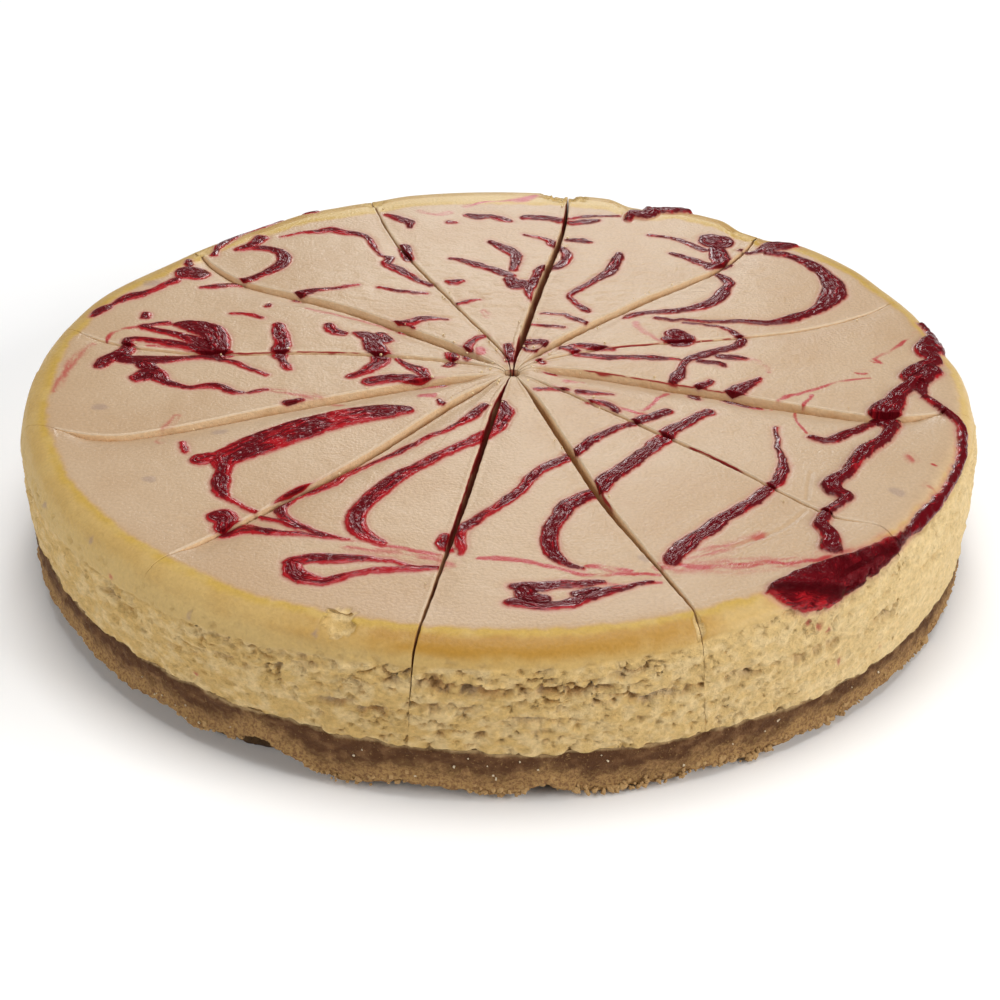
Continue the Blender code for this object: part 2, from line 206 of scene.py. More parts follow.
class Shell:
    """Collects the points, faces and surface fields of one piece."""

    def __init__(self, name: str, fields: Sequence[str]) -> None:
        """Start an empty piece with the fields that its finish reads."""
        self.name = name
        self.fields: dict[str, list[Array]] = {key: [] for key in fields}
        self.tints: list[Array] = []
        self.points: list[Array] = []
        self.faces: list[list[int]] = []
        self.count = 0

    def add(self, points: Array, **values: Any) -> Array:
        """Add points in mm.

        Args:
            points: Array that ends in x, y, z.
            **values: Field values of the same leading shape, or one number.

        Returns:
            The points' numbers, in the leading shape.
        """
        shape = points.shape[:-1]
        size = int(np.prod(shape))
        self.points.append(points.reshape(-1, 3))
        for key, store in self.fields.items():
            store.append(np.broadcast_to(values.get(key, 0.0), shape).reshape(-1).astype(np.float32))
        if "tint" in values:
            self.tints.append(np.broadcast_to(values["tint"], shape + (3,)).reshape(-1, 3))
        numbers = np.arange(self.count, self.count + size).reshape(shape)
        self.count += size
        return numbers

    def quads(self, numbers: Array, flip: bool) -> None:
        """Join a grid of point numbers with four-sided faces; flip turns them over."""
        a, b = numbers[:-1, :-1].ravel(), numbers[1:, :-1].ravel()
        c, d = numbers[1:, 1:].ravel(), numbers[:-1, 1:].ravel()
        order = (a, d, c, b) if flip else (a, b, c, d)
        self.faces.extend(np.stack(order, axis=1).tolist())

    def polygon(self, numbers: Sequence[int], flip: bool = False) -> None:
        """Add one face through the numbers, leaving out repeats."""
        kept = list(dict.fromkeys(int(number) for number in numbers))
        if len(kept) > 2:
            self.faces.append(kept[::-1] if flip else kept)

    def build(self, material: bpy.types.Material, sharp_above: float = 70.0) -> bpy.types.Object:
        """Make the object.

        Args:
            material: Its finish.
            sharp_above: Edges that turn by more than this many degrees stay sharp.

        Returns:
            The new object, at the origin.
        """
        mesh = bpy.data.meshes.new(self.name)
        mesh.from_pydata((np.concatenate(self.points) * MM).tolist(), [], self.faces)
        for key, store in self.fields.items():
            layer = mesh.attributes.new(key, "FLOAT", "POINT")
            layer.data.foreach_set("value", np.concatenate(store))
        if self.tints:
            layer = mesh.attributes.new("tint", "FLOAT_COLOR", "POINT")
            colours = np.concatenate(self.tints)
            layer.data.foreach_set("color", np.column_stack((colours, np.ones(len(colours)))).ravel())
        mesh.materials.append(material)
        mesh.shade_smooth()
        mesh.set_sharp_from_angle(angle=math.radians(sharp_above))
        obj = bpy.data.objects.new(self.name, mesh)
        bpy.context.scene.collection.objects.link(obj)
        return obj


def finish_inside(made: bpy.types.Object, material: bpy.types.Material, chosen: Array) -> None:
    """Give a second finish to the faces whose points are all chosen.

    Args:
        made: A piece that has its first finish.
        material: The second finish.
        chosen: True or False for each point.
    """
    mesh = made.data
    mesh.materials.append(material)
    corners = np.empty(len(mesh.loops), dtype=np.int32)
    mesh.loops.foreach_get("vertex_index", corners)
    starts = np.empty(len(mesh.polygons), dtype=np.int32)
    mesh.polygons.foreach_get("loop_start", starts)
    inside = np.minimum.reduceat(chosen[corners].astype(np.int32), starts)
    mesh.polygons.foreach_set("material_index", inside)


# Form.


@dataclass(frozen=True)
class CakeForm:
    """Outer form of the whole cake, as the solid model has it."""

    height: float = 45.0
    edge_radius: float = 118.5
    # Side of the filling: radius, depth below the flat top.
    profile: Places = (
        (118.5, 0.0), (120.8, 0.2), (123.4, 1.0), (125.6, 2.6), (126.9, 5.0), (127.6, 7.6), (127.9, 9.8),
        (128.0, 14.6), (127.8, 19.4), (127.3, 24.2), (126.8, 30.0))
    straight_from: float = 5.0
    # Line between filling and crust: its height in the middle, and its fall towards +X at the wall.
    line_middle: float = 15.0
    line_drop: float = 3.6
    wall_radius: float = 128.0
    crust_radius: float = 126.0
    # Side of the crust: radius, share of its height.
    crust_profile: Places = ((126.4, 1.0), (126.3, 0.66), (125.9, 0.36), (125.2, 0.11), (123.6, 0.0))
    # Where the rim stands out or in: bearing, half width in degrees, mm outwards.
    swells: Places = (
        (49.5, 7.0, -3.8), (68.0, 6.0, -4.0), (36.0, 11.0, 1.2), (10.0, 9.0, -1.2), (112.0, 9.0, -1.6),
        (137.0, 24.0, -3.8), (-32.0, 30.0, -0.6))
    # Broken places of the rim: bearing, half width in degrees, middle and half length down from the
    # edge, and depth, in mm.
    chips: Places = (
        (80.5, 3.4, 3.0, 5.4, 3.4), (109.5, 1.9, 2.4, 3.0, 1.8), (50.3, 2.0, 2.4, 3.0, 1.8),
        (139.0, 2.0, 2.4, 3.0, 1.5), (-107.3, 1.9, 3.4, 4.2, 2.2), (-68.2, 0.7, 6.5, 3.2, 1.2))
    # Tears of the wall: bearing, mm below the rim, half length in degrees, half
    # height and depth in mm.
    tears: Places = (
        (-93.0, 11.8, 7.5, 1.8, 3.2), (-83.0, 12.4, 4.5, 1.7, 2.8), (-95.0, 17.0, 3.6, 1.5, 2.4),
        (-77.0, 9.6, 4.0, 1.2, 1.4), (-74.0, 16.4, 6.0, 1.6, 2.6), (-85.0, 20.6, 4.0, 1.4, 1.8),
        (-93.0, 25.4, 3.4, 1.4, 1.6), (-117.0, 15.2, 3.4, 1.3, 1.8), (-110.0, 9.0, 4.0, 1.4, 1.9),
        (-104.0, 20.0, 5.0, 1.5, 2.2), (-124.0, 17.2, 2.8, 1.3, 1.5), (-135.0, 13.4, 3.2, 1.3, 1.5),
        (-62.0, 16.8, 3.4, 1.6, 2.2), (-54.0, 17.2, 4.0, 1.5, 2.0), (-42.0, 18.6, 3.4, 2.6, 2.2),
        (-33.0, 13.4, 3.4, 1.3, 1.3))
    # The back, hidden in the photograph: first bearing, width in degrees, number of tears.
    back: tuple[float, float, int] = (-18.0, 222.0, 26)
    # How deep the smooth baked skin reaches below the rim, and how rough the
    # crumb under it is, by bearing.
    skin: Places = (
        (-180, 10.0, 0.55), (-150, 9.5, 0.5), (-132, 9.0, 0.6), (-122, 8.5, 0.7), (-112, 7.4, 0.85),
        (-104, 6.6, 1.0), (-99, 6.4, 1.0), (-90, 6.6, 1.0), (-72, 5.8, 1.0), (-67, 4.2, 0.9),
        (-60, 3.6, 0.8), (-50, 3.2, 0.6), (-42, 3.0, 0.4), (-20, 3.6, 0.4), (10, 7.0, 0.7), (60, 9.0, 0.8),
        (110, 8.0, 0.8), (150, 9.5, 0.65), (180, 10.0, 0.55))
    # Height of the ragged lower edge of the crust above the base, by bearing.
    foot: Places = (
        (-180, 4.5), (-150, 7.0), (-145, 6.5), (-140, 5.5), (-135, 5.0), (-130, 6.5), (-125, 4.0),
        (-120, 6.0), (-116.5, 9.0), (-112, 5.0), (-109, 2.0), (-105, 1.5), (-100, 4.5), (-95, 3.5),
        (-90, 1.5), (-87, 3.0), (-85, 5.2), (-83, 3.0), (-80, 1.0), (-70, 1.0), (-68, 2.8), (-60, 1.0),
        (-55, 3.0), (-50, 1.5), (-40, 3.2), (-30, 1.0), (-27, 4.0), (-20, 2.0), (0, 3.5), (12, 1.2),
        (30, 4.0), (48, 2.0), (60, 5.0), (75, 1.5), (95, 4.4), (110, 2.2), (128, 5.5), (140, 2.0),
        (160, 5.0), (180, 4.5))

    def swell(self, bearing: Array) -> Array:
        """Return how far the rim stands out (+) or in (-) at each bearing, in mm."""
        reach = np.zeros(np.shape(bearing))
        for where, half_width, amount in self.swells:
            reach += amount * (1.0 - ease(0.25, 1.0, np.abs(turn(bearing, where)) / half_width))
        return reach

    def crust_line(self, x: Array, y: Array) -> Array:
        """Return the height of the line between filling and crust: a slope in x, ragged near the wall."""
        near_wall = ease(112.0, 124.0, np.hypot(x, y))
        wave = 0.55 * grain(x / 17.0, y / 17.0, 4.0, 3) + 0.75 * layers(x / 4.2, y / 4.2, 1.0, 5, 2)
        return self.line_middle - self.line_drop * x / self.wall_radius + wave * near_wall

    def chip(self, bearing: Array, way: Array) -> Array:
        """Depth of the broken places of the rim, each a hollow with a ragged edge.

        A hollow is d sqrt(1 - a^2 - w^2), with a and w the places across and
        down it in half sizes, both moved by noise.

        Args:
            bearing: Bearing of each point, in degrees.
            way: Distance down from the edge of the flat top, in mm.

        Returns:
            Depths in mm.
        """
        depth = np.zeros(np.broadcast(bearing, way).shape)
        for where, half_width, middle, half_length, deep in self.chips:
            near = np.abs(turn(bearing, where)) < 2.0 * half_width
            if not near.any():
                continue
            ragged = 0.5 * layers(bearing / 1.1, way / 2.4, 0.0, 107, 3)
            across = turn(bearing, where) / half_width + ragged
            down = (way - middle) / half_length + 0.5 * layers(bearing / 1.1, way / 2.4, 5.0, 108, 3)
            bowl = np.maximum(0.0, 1.0 - across * across - down * down)
            lumps = 0.85 + 0.3 * layers(bearing / 0.6, way / 1.3, 2.0, 110, 2)
            depth = np.maximum(depth, deep * lumps * np.sqrt(bowl))
        return depth

    def back_tears(self) -> Places:
        """Return tears for the hidden back, spread evenly but for a seeded random shift."""
        dice = np.random.default_rng(12)
        start, width, many = self.back
        return tuple((start + width * (index + dice.uniform(0.1, 0.9)) / many, dice.uniform(9.0, 25.0),
                      dice.uniform(2.2, 4.6), dice.uniform(1.2, 1.6), dice.uniform(1.2, 2.4))
                     for index in range(many))

    def torn(self, bearing: Array, drop: Array) -> tuple[Array, Array]:
        """Depth of the torn wall and the share that is bare crumb.

        Crevices are the thin zero lines of a noise field that is stretched
        round the cake, plus named tears, which are half ellipses. Lumps
        between them are rounded, and small pits are the low ends of a finer
        field.

        Args:
            bearing: Bearing of each point, in degrees.
            drop: Depth below the rim, in mm.

        Returns:
            Depth inwards in mm, and the crumb share from 0 to 1.
        """
        east, north = around_at(bearing, self.wall_radius)
        skin, rough = by_bearing(self.skin, bearing), by_bearing(self.skin, bearing, 2)
        ragged = skin + 1.3 * layers(east / 9.0, north / 9.0, 2.0, 11, 3)
        crumb = ease(-0.5, 1.1, drop - ragged)
        tear = np.zeros(np.shape(drop))
        bend = 1.9 * layers(east / 5.0, north / 5.0, drop / 5.0, 17, 3)
        filled = 0.35 + 0.9 * ease(-0.3, 0.35, layers(east / 2.2, north / 2.2, drop / 1.8, 19, 2))
        for where, below, half_length, half_height, depth in self.tears + self.back_tears():
            across = turn(bearing, where) / (1.15 * half_length)
            up = (drop - below + bend) / (0.95 * half_height)
            bowl = np.maximum(0.0, 1.0 - across * across - up * up)
            tear = np.maximum(tear, depth * filled * np.sqrt(bowl))
        wide = layers(east / 4.6, north / 4.6, drop / 2.7, 21, 3)
        crack = 1.0 - ease(0.0, 0.17, np.abs(wide + 0.1))
        zone = 0.4 + 0.9 * np.exp(-((drop - ragged - 4.0) / 4.5) ** 2)
        open_here = ease(-0.25, 0.3, layers(east / 11.0, north / 11.0, drop / 7.0, 25, 2)) * zone
        pits = ease(0.25, 0.55, layers(east / 1.9, north / 1.9, drop / 1.5, 29, 2))
        lumps = layers(east / 2.9, north / 2.9, drop / 2.2, 33, 3)
        depth = 1.6 * crack * open_here + 0.9 * pits + 1.1 * (0.3 - lumps)
        skin_pits = 0.6 * ease(0.34, 0.6, layers(east / 1.6, north / 1.6, drop / 1.4, 37, 2))
        skin_pits = skin_pits * ease(3.0, 7.0, drop)
        return crumb * (0.75 * tear + rough * depth) + (0.12 + skin_pits) * (1.0 - crumb), crumb

    def foot_edge(self, bearing: Array) -> Array:
        """Height of the crust's ragged lower edge above the base, in mm."""
        rough = layers(*around_at(bearing, 46.0), 0.5, 41, 3)
        level = by_bearing(self.foot, bearing)
        return np.maximum(0.4, level + 1.1 * rough)


@dataclass(frozen=True)
class KnifePlan:
    """The twelve knife cuts, as bearings about the meeting point by distance from it."""

    meeting: tuple[float, float] = (3.5, 2.0)
    # Places that each cut goes through, outwards from the meeting point.
    lines: tuple[Places, ...] = (
        ((5, 15), (11.8, 55), (19.2, 95), (21.8, 132)),
        ((13.5, 17.5), (40, 45), (63, 66), (75, 84), (85, 108)),
        ((14, 10.5), (35, 18), (80, 26.3), (104, 38), (126, 60)),
        ((12, 4.8), (45, -4), (80, -15.8), (102, -21), (136, -15)),
        ((20, -10.5), (55, -43.5), (80, -69.5), (94, -77), (103, -100)),
        ((10, -14), (27, -67.5), (44.6, -112), (48, -134)),
        ((-0.5, -15), (-7.6, -60), (-16, -110), (-20.4, -135)),
        ((-10, -12), (-38, -48.5), (-75, -87.5), (-96, -105)),
        ((-20, -3.6), (-55, -17.3), (-95, -33.2), (-113, -31), (-134, -17)),
        ((-12, 8.6), (-45, 13.2), (-85, 12.6), (-112, 20.3), (-130, 37)),
        ((-14, 18.5), (-42, 39), (-76, 58), (-92, 78.5), (-102, 93)),
        ((0.5, 15), (-12, 41), (-32, 85.5), (-44, 131)))
    # Opening of each cut at the top: near the middle, near the rim and in the wall, in mm.
    open_middle: tuple[float, ...] = (2.2, 2.2, 1.0, 2.4, 0.9, 2.0, 1.7, 1.9, 2.3, 1.2, 2.3, 0.8)
    open_rim: tuple[float, ...] = (0.9, 0.7, 0.5, 0.7, 0.5, 0.7, 0.8, 0.5, 0.8, 0.5, 0.8, 0.5)
    open_wall: tuple[float, ...] = (0.4, 0.2, 0.1, 0.2, 0.06, 0.4, 0.7, 0.06, 0.2, 0.15, 0.3, 0.3)
    closed: float = 0.015
    # How fast each cut closes down the wall: the power of the height share.
    closing: tuple[float, ...] = (8.0, 12.0, 14.0, 10.0, 14.0, 8.0, 3.0, 14.0, 12.0, 12.0, 10.0, 8.0)
    open_tip: float = 0.4
    # Length along which each cut is followed, in mm, and the number of places on it.
    length: float = 150.0
    stations: int = 301
    # How far the edge of the top is pulled down on each side of a cut, in mm.
    sink_start: tuple[float, ...] = (0.5, 1.0, 0.5, 1.8, 0.5, 0.6, 0.1, 0.1, 0.1, 0.1, 0.1, 0.1)
    sink_end: tuple[float, ...] = (0.1, 0.1, 0.1, 0.1, 0.1, 0.1, 0.4, 1.2, 1.6, 0.8, 1.5, 0.4)
    # Turn of a cut between the top and the foot, in degrees.
    lean: tuple[float, ...] = (0.0, 0.0, 0.0, 0.0, 0.0, 1.2, -0.9, 0.0, 0.0, 0.0, 0.0, 0.0)
    # Distance of each slice's tip from the meeting point, in mm.
    tips: tuple[float, ...] = (2.6, 2.5, 2.3, 2.1, 2.0, 1.6, 1.8, 2.1, 2.4, 2.5, 2.6, 2.7)

    def curves(self) -> tuple[list[Array], list[Array]]:
        """Return each cut's distances from the meeting point and its bearings there, in radians."""
        stations = np.linspace(0.0, self.length, self.stations)
        distances, bearings = [], []
        before = 2.0 * math.pi
        for line in self.lines:
            places = np.array((self.meeting,) + line, dtype=float)
            path = smooth_path(places, stations) - np.array(self.meeting)
            rho = np.hypot(path[:, 0], path[:, 1])
            keep = rho > 1.0
            angle = np.unwrap(np.arctan2(path[keep, 1], path[keep, 0]))
            while angle[0] > before:
                angle = angle - 2.0 * math.pi
            while angle[0] < before - 2.0 * math.pi:
                angle = angle + 2.0 * math.pi
            before = angle[0]
            distances.append(rho[keep])
            bearings.append(angle)
        return distances, bearings

    def half_gap(self, index: int, rho: Array, level: Array, seed: int) -> Array:
        """Half the width of a cut's opening, in mm, with a slightly ragged edge.

        Args:
            index: Number of the cut, from 0.
            rho: Distance from the meeting point.
            level: 1 at the top, 0 at the foot.
            seed: Chooses the raggedness.

        Returns:
            Half widths in mm.
        """
        narrowing = self.open_rim[index] - self.open_middle[index]
        open_here = self.open_middle[index] + narrowing * ease(60.0, 118.0, rho)
        open_here = open_here + (self.open_wall[index] - self.open_rim[index]) * ease(118.0, 125.0, rho)
        wide = self.open_tip + (open_here - self.open_tip) * ease(4.0, 22.0, rho)
        ragged = 0.1 * layers(rho / 1.7, 0.0, 0.0, seed, 2) + 0.08 * grain(rho / 6.0, 0.0, 0.0, seed + 9)
        closing = 4.0 + (self.closing[index] - 4.0) * ease(100.0, 120.0, rho)
        wide = self.closed + (wide + 2.0 * ragged - self.closed) * np.clip(level, 0.0, 1.0) ** closing
        return 0.5 * np.maximum(wide, self.closed)


# Jam.


class Jam(Enum):
    """How a line of jam lies on the cake, as (height in mm, strength of its colour)."""

    THICK = (1.15, 1.0)
    RAISED = (0.6, 1.0)
    BAKED = (0.3, 1.0)
    FAINT = (0.0, 0.45)
    STREAK = (0.0, 0.8)
    DULL = (0.0, 0.6)


JAM_LINES: tuple[tuple[Jam, Places], ...] = (
    # Front right.
    (Jam.BAKED, (
        (44, -19, 1.6), (38, -23, 1.8), (33, -26, 1.4), (28, -30, 1.4), (23, -35, 1.6), (20, -40, 1.5),
        (12, -48, 1.6), (8, -54, 1.6), (5, -60, 1.5), (0, -67, 1.5), (-5, -73, 1.5), (-9, -78, 1.6),
        (-9, -85, 1.2), (-9, -88, .8))),
    (Jam.BAKED, (
        (55, -19, 1.6), (50, -24, 2.0), (45, -29, 2.2), (41, -35, 2.4), (37, -41, 2.2), (32, -48, 2.2),
        (27, -54, 2.4), (25, -59, 2.2), (21, -62, 2.2), (17, -67, 2.3), (14, -74, 2.2), (12.5, -80, 2.2),
        (12.5, -86, 2.2), (14, -91, 1.6), (17, -93.5, 1.0), (20, -94.5, .6))),
    (Jam.BAKED, (
        (72, -27, .5), (71.5, -35, .6), (72, -42, .8), (72, -47, 1.4), (70, -54, 1.8), (67, -58, 1.8),
        (63, -64, 1.9), (58, -69, 1.9), (53, -74, 2.0), (49, -79, 2.2), (45, -84, 2.4), (42, -88, 2.4),
        (41, -91.5, 2.0))),
    (Jam.STREAK, ((78, -17, .4), (77.5, -24, .4), (79, -30, .5))),
    (Jam.RAISED, (
        (80, -32, .8), (84, -34, 1.6), (89, -31, 1.8), (93, -28, 1.6), (97, -24, 1.8), (100, -21.5, 2.4))),
    (Jam.THICK, (
        (117, 3, 3.0), (113, -2, 2.6), (107, -8, 2.2), (104, -14, 3.0), (101, -20, 4.4), (102, -27, 2.0),
        (99, -33, 1.8), (94, -39, 2.2), (90, -45, 1.8), (87, -51, 1.8), (83, -55, 2.4), (83, -60, 2.2),
        (86, -62, 1.6), (80, -69, 1.4), (78, -74, 2.0), (80, -80, 2.2), (79, -85, 2.4))),
    (Jam.RAISED, ((113, -2, 2.4), (112, -5, 2.0), (113, -9, 1.0))),
    (Jam.THICK, (
        (113, -11, 1.0), (117, -18, 1.2), (120, -24, 1.3), (119.5, -32, 1.3), (118, -40, 1.5),
        (115.5, -48, 1.6), (112, -56, 1.6), (108, -63, 2.0), (104, -69, 2.2), (101, -75, 2.2),
        (99, -80, 2.6), (96, -84, 2.8))),
    (Jam.THICK, (
        (65, -102, 1.8), (69, -101, 3), (74, -99, 5), (80, -96, 6), (85, -93, 5.4), (90, -88, 4.4),
        (97, -83, 4), (101, -78, 3))),
    (Jam.STREAK, (
        (-5, -91, .8), (0, -91, 1.2), (5, -91.5, 1.0), (10, -93, .8), (20, -97, .8), (30, -97, .7),
        (38, -97, .6))),
    (Jam.STREAK, ((21, -93.5, .6), (24, -94, 1.2), (28, -95.5, 1.2), (31, -96, .6))),
    (Jam.STREAK, ((20, -99.5, .5), (28, -101.5, .6), (38, -100, .5))),
    (Jam.STREAK, (
        (42, -92, .8), (48, -94, 1.2), (57, -93, 1.2), (62, -92, .9), (70, -92, .8), (76, -90, .8),
        (82, -87, .8))),
    (Jam.FAINT, ((38, -94, 1.6), (55, -93, 2.0), (72, -91, 1.6), (84, -86, 1.2))),
    (Jam.BAKED, ((4, -103, 1.6), (8, -103, 2.0), (14, -102, 1.6), (20, -101, 1.4), (24, -100.5, .8))),
    (Jam.BAKED, (
        (3, -109.5, 1.8), (9, -110.5, 1.8), (16, -110, 1.8), (20, -107, 2.0), (24, -105, 1.8),
        (29, -102.5, 1.2), (36, -100, .5))),
    (Jam.BAKED, ((6, -104, 2.6), (7, -107.5, 3.0), (10, -108, 2.4))),
    (Jam.BAKED, ((18, -105.5, 1.4), (20, -104.5, 1.6), (23, -103.5, 1.0))),
    (Jam.BAKED, (
        (70, -1, .8), (66, -5, 1.8), (62, -9, 2.6), (61, -11, 1), (64, -13, 1.0), (69, -14.5, 1.0))),
    (Jam.BAKED, ((57, -2, .8), (54, -5, 1.4), (52, -8, 1.8), (53, -11, .8))),
    (Jam.STREAK, ((45, -8, .8), (42, -12, .8), (39, -17, .8), (36, -20, .8), (36, -24, .6))),
    (Jam.BAKED, ((10, -8, .8), (15, -7, .9), (18, -8, .6))),
    (Jam.BAKED, ((21, -9, 1.2), (26, -10, .9), (30, -10.5, .4))),
    (Jam.FAINT, ((18, -3, .8), (22, -3, .8))),
    (Jam.BAKED, ((24, -14, .9), (29, -16, 1.2), (31, -19, 1.0))),
    (Jam.STREAK, ((31, -17, .6), (36, -20, .8), (40, -21, .6))),
    (Jam.BAKED, ((13, 2.5, .7), (15, 2.5, .7))),
    (Jam.FAINT, ((107, -56, 1.0), (109, -58, 1.0))),
    (Jam.FAINT, ((104, -42, .9), (104.5, -44, .9))),
    (Jam.STREAK, ((109.6, -45.6, .5), (110.4, -46.4, .5))),
    (Jam.STREAK, ((100, 0, .5), (90, -3, .6), (82, -8, .7), (76, -11, .7), (72, -15, .5))),
    (Jam.STREAK, ((83, -10, .6), (80, -16, .4))),
    (Jam.FAINT, ((63, -80, 1.2), (57, -83.5, 1.4), (52, -86, 1.6), (45, -89, 1.2))),
    (Jam.FAINT, ((86, -86, 1.0), (90, -82, 1.2), (94, -78, 1.0))),
    # Front left.
    (Jam.BAKED, (
        (-4, -17, 1.2), (-7, -22, 1.5), (-10, -26, 1.4), (-14, -30, 1.1), (-17, -32, 1.2), (-20, -35, .9),
        (-24, -39, 1.2), (-28, -43, 1.0), (-33, -47, .9), (-38, -51, 1.2), (-42, -56, 1.8), (-46, -59, 1.9),
        (-50, -62, 1.8), (-53, -66, 1.7), (-53, -71, 1.5), (-50, -75, 1.2), (-46, -78, 1.1),
        (-42, -80.5, 1.0), (-38, -82, .5))),
    (Jam.BAKED, (
        (.5, -15, 1.6), (1.5, -21, 2.4), (-.5, -28, 2.2), (-4, -33, 2.2), (-8, -37, 1.8), (-13, -41, 1.6),
        (-18, -46, 1.8), (-22, -50, 2.2), (-26, -55, 2.6), (-30, -61, 2.5), (-33, -67, 2.4),
        (-34.5, -73, 2.4), (-34, -78, 2.4), (-31, -82, 1.8), (-27, -84.5, .8))),
    (Jam.RAISED, (
        (-24, -20, 2.0), (-30, -20.5, 3.8), (-37, -22.5, 4.4), (-44, -26, 4.6), (-52, -31, 5.2),
        (-59, -36, 5.4), (-65, -41.5, 5.0), (-69, -46, 4.2), (-69, -51, 2.4), (-69, -57, 2.6),
        (-68, -62, 1.8), (-66, -65, .9), (-62, -68.5, .7), (-58, -71.5, .8), (-53, -75, .9),
        (-48, -78, .8))),
    (Jam.RAISED, ((-70, -45, 2.6), (-75, -46, 2.8))),
    (Jam.BAKED, ((-81, -37, .8), (-79.5, -42, 1.0))),
    (Jam.FAINT, ((-84, -24, .8), (-86, -30, .8), (-87, -36, .8))),
    (Jam.BAKED, (
        (-68, -73, 2.8), (-66, -73, 3.2), (-66, -79, 2.4), (-62, -77, 2.6), (-57, -79, 1.6),
        (-52, -80, 1.2), (-47, -80.5, .9), (-40, -82, .6), (-36, -82.5, .4))),
    (Jam.BAKED, (
        (-49, -93, 2.0), (-44, -91.5, 2.2), (-38, -91.5, 2.2), (-34, -91, 1.6), (-28, -91.5, .8),
        (-20, -94, .5), (-14, -95, .4))),
    (Jam.BAKED, ((-48.5, -93, 2.2), (-48, -97, 2.6), (-46, -99.5, 2.4))),
    (Jam.BAKED, (
        (-45, -100, 2.4), (-40, -101.5, 1.8), (-35, -98.5, 1.4), (-30, -96.5, 1.3), (-24, -95.5, 1.2),
        (-18, -95, 1.0), (-14, -95.5, .5))),
    (Jam.BAKED, ((-12.5, -81, 1.6), (-13, -84, 1.8), (-12, -87, 1.2))),
    (Jam.STREAK, ((-37, -83, .5), (-25, -86, .7), (-15, -89, .9), (-13, -90, .8))),
    (Jam.FAINT, ((-36, -86, 1.0), (-24, -89.5, 1.4), (-14, -92, 1.6), (-11, -93, 1.2))),
    (Jam.BAKED, ((-56, -16, 1.6), (-52, -14.5, 1.0))),
    (Jam.STREAK, ((-20, -11, 1.6), (-18, -11, 1.6))),
    (Jam.BAKED, ((-16, -14, .8), (-15, -16, 1.0))),
    (Jam.BAKED, (
        (-97, -3, 2.4), (-94, 0, 3.0), (-90, -4, 1.8), (-86, -7, 1.4), (-82, -8, 1.2), (-78, -7, 1.6),
        (-74, -7.5, 1.4), (-71, -10, 1.2), (-68, -10.5, .8))),
    (Jam.BAKED, ((-66, -10.5, .7), (-64, -9.5, 1.0), (-62, -9, .6))),
    (Jam.BAKED, ((-35, -4, 2.0), (-30, -2.5, 2.6), (-25, -2, 2.4), (-20, -3, 2.2), (-15, -3, 1.2))),
    (Jam.FAINT, ((-60, -9, .8), (-50, -12, 1.0), (-45, -15, 1.0), (-42, -16, .8))),
    # Back left.
    (Jam.BAKED, ((-58, 107, 2.0), (-60, 106.5, 1.2))),
    (Jam.BAKED, (
        (-68, 101, 1.2), (-72, 97, 1.6), (-76, 94, 1.4), (-80, 89, 1.6), (-82, 85, 2.0), (-84, 80, 1.4),
        (-85, 74, 1.0))),
    (Jam.BAKED, (
        (-66, 87, .4), (-60, 90, .7), (-55, 90.5, 1.4), (-52, 92, 2.0), (-47, 90.5, 1.6), (-43, 89.5, 1.4),
        (-40, 86, 1.0), (-38, 81, 1.0), (-37, 78, .6), (-35, 74, .6), (-33, 73, 1.4), (-34, 69, 1.6),
        (-31, 66, 1.8), (-27, 62, 1.6), (-24, 58, 1.2), (-20, 55, 1.0))),
    (Jam.BAKED, (
        (-72, 86, 2.2), (-74, 82, 1.8), (-78, 78, 1.2), (-74, 79, 1.4), (-69, 78.5, 1.6), (-65, 75, 2.0),
        (-64, 70, 2.2), (-66, 65, 2.0), (-70, 61, 1.6), (-73, 58, 1.8), (-78, 56, 1.6), (-82, 54, 1.4),
        (-86, 52.5, .8))),
    (Jam.BAKED, ((-91, 62, 4.4), (-89, 62, 4.4))),
    (Jam.BAKED, ((-92, 68, 1.4), (-92, 70, 1.0))),
    (Jam.BAKED, (
        (-94, 57, 1.6), (-98, 52, 1.4), (-102, 48, 1.6), (-107, 45, 2.0), (-110, 41, .8), (-113, 37.5, 2.0),
        (-115, 34, .8))),
    (Jam.BAKED, ((-100, 35, 1.4), (-100, 33, 1.4))),
    (Jam.BAKED, ((-66, 42, .9), (-66, 41, .9))),
    (Jam.BAKED, ((-76, 36.5, .6), (-71, 35.5, 1.0), (-67, 33, .8))),
    (Jam.BAKED, (
        (-62, 29, 1.6), (-61, 24, 2.2), (-60, 18, 2.4), (-60, 13, 2.4), (-59, 9, 1.2), (-58, 5, 1.4),
        (-57, 3, 1.0))),
    (Jam.RAISED, (
        (-90, 29, 1.6), (-86, 28, 3.0), (-82, 26, 4.0), (-79, 22, 4.0), (-78, 17, 3.6), (-77, 13, 3.2))),
    (Jam.BAKED, (
        (-93, 30, .8), (-100, 27, 1.0), (-95, 25, 1.4), (-90, 23, 1.6), (-85, 20, 2.2), (-80, 16, 2.4))),
    (Jam.BAKED, (
        (-103, 19, 1.4), (-100, 20, 1.4), (-95, 18.5, 1.6), (-90, 17.5, 1.8), (-85, 15.5, 2.0),
        (-80, 13, 2.4), (-74, 12, 1.6))),
    (Jam.RAISED, ((-103, 19, 1.6), (-102, 14, 2.4), (-104, 10, 2.6), (-107, 7, 2.6), (-108, 4.5, 2.2))),
    (Jam.BAKED, (
        (-104, 8, 2.0), (-98, 7.5, 2.4), (-92, 8, 2.4), (-86, 9.5, 1.8), (-80, 10, 1.4), (-76, 9, 1.4),
        (-71, 6, 1.2), (-66, 2, 1.0), (-63, 0, .8))),
    (Jam.BAKED, ((-96, 5, 2.6), (-94, 1, 2.2), (-95, -2, 2.6))),
    (Jam.STREAK, ((-97, 16, .6), (-88, 14.5, .8), (-80, 13, .6))),
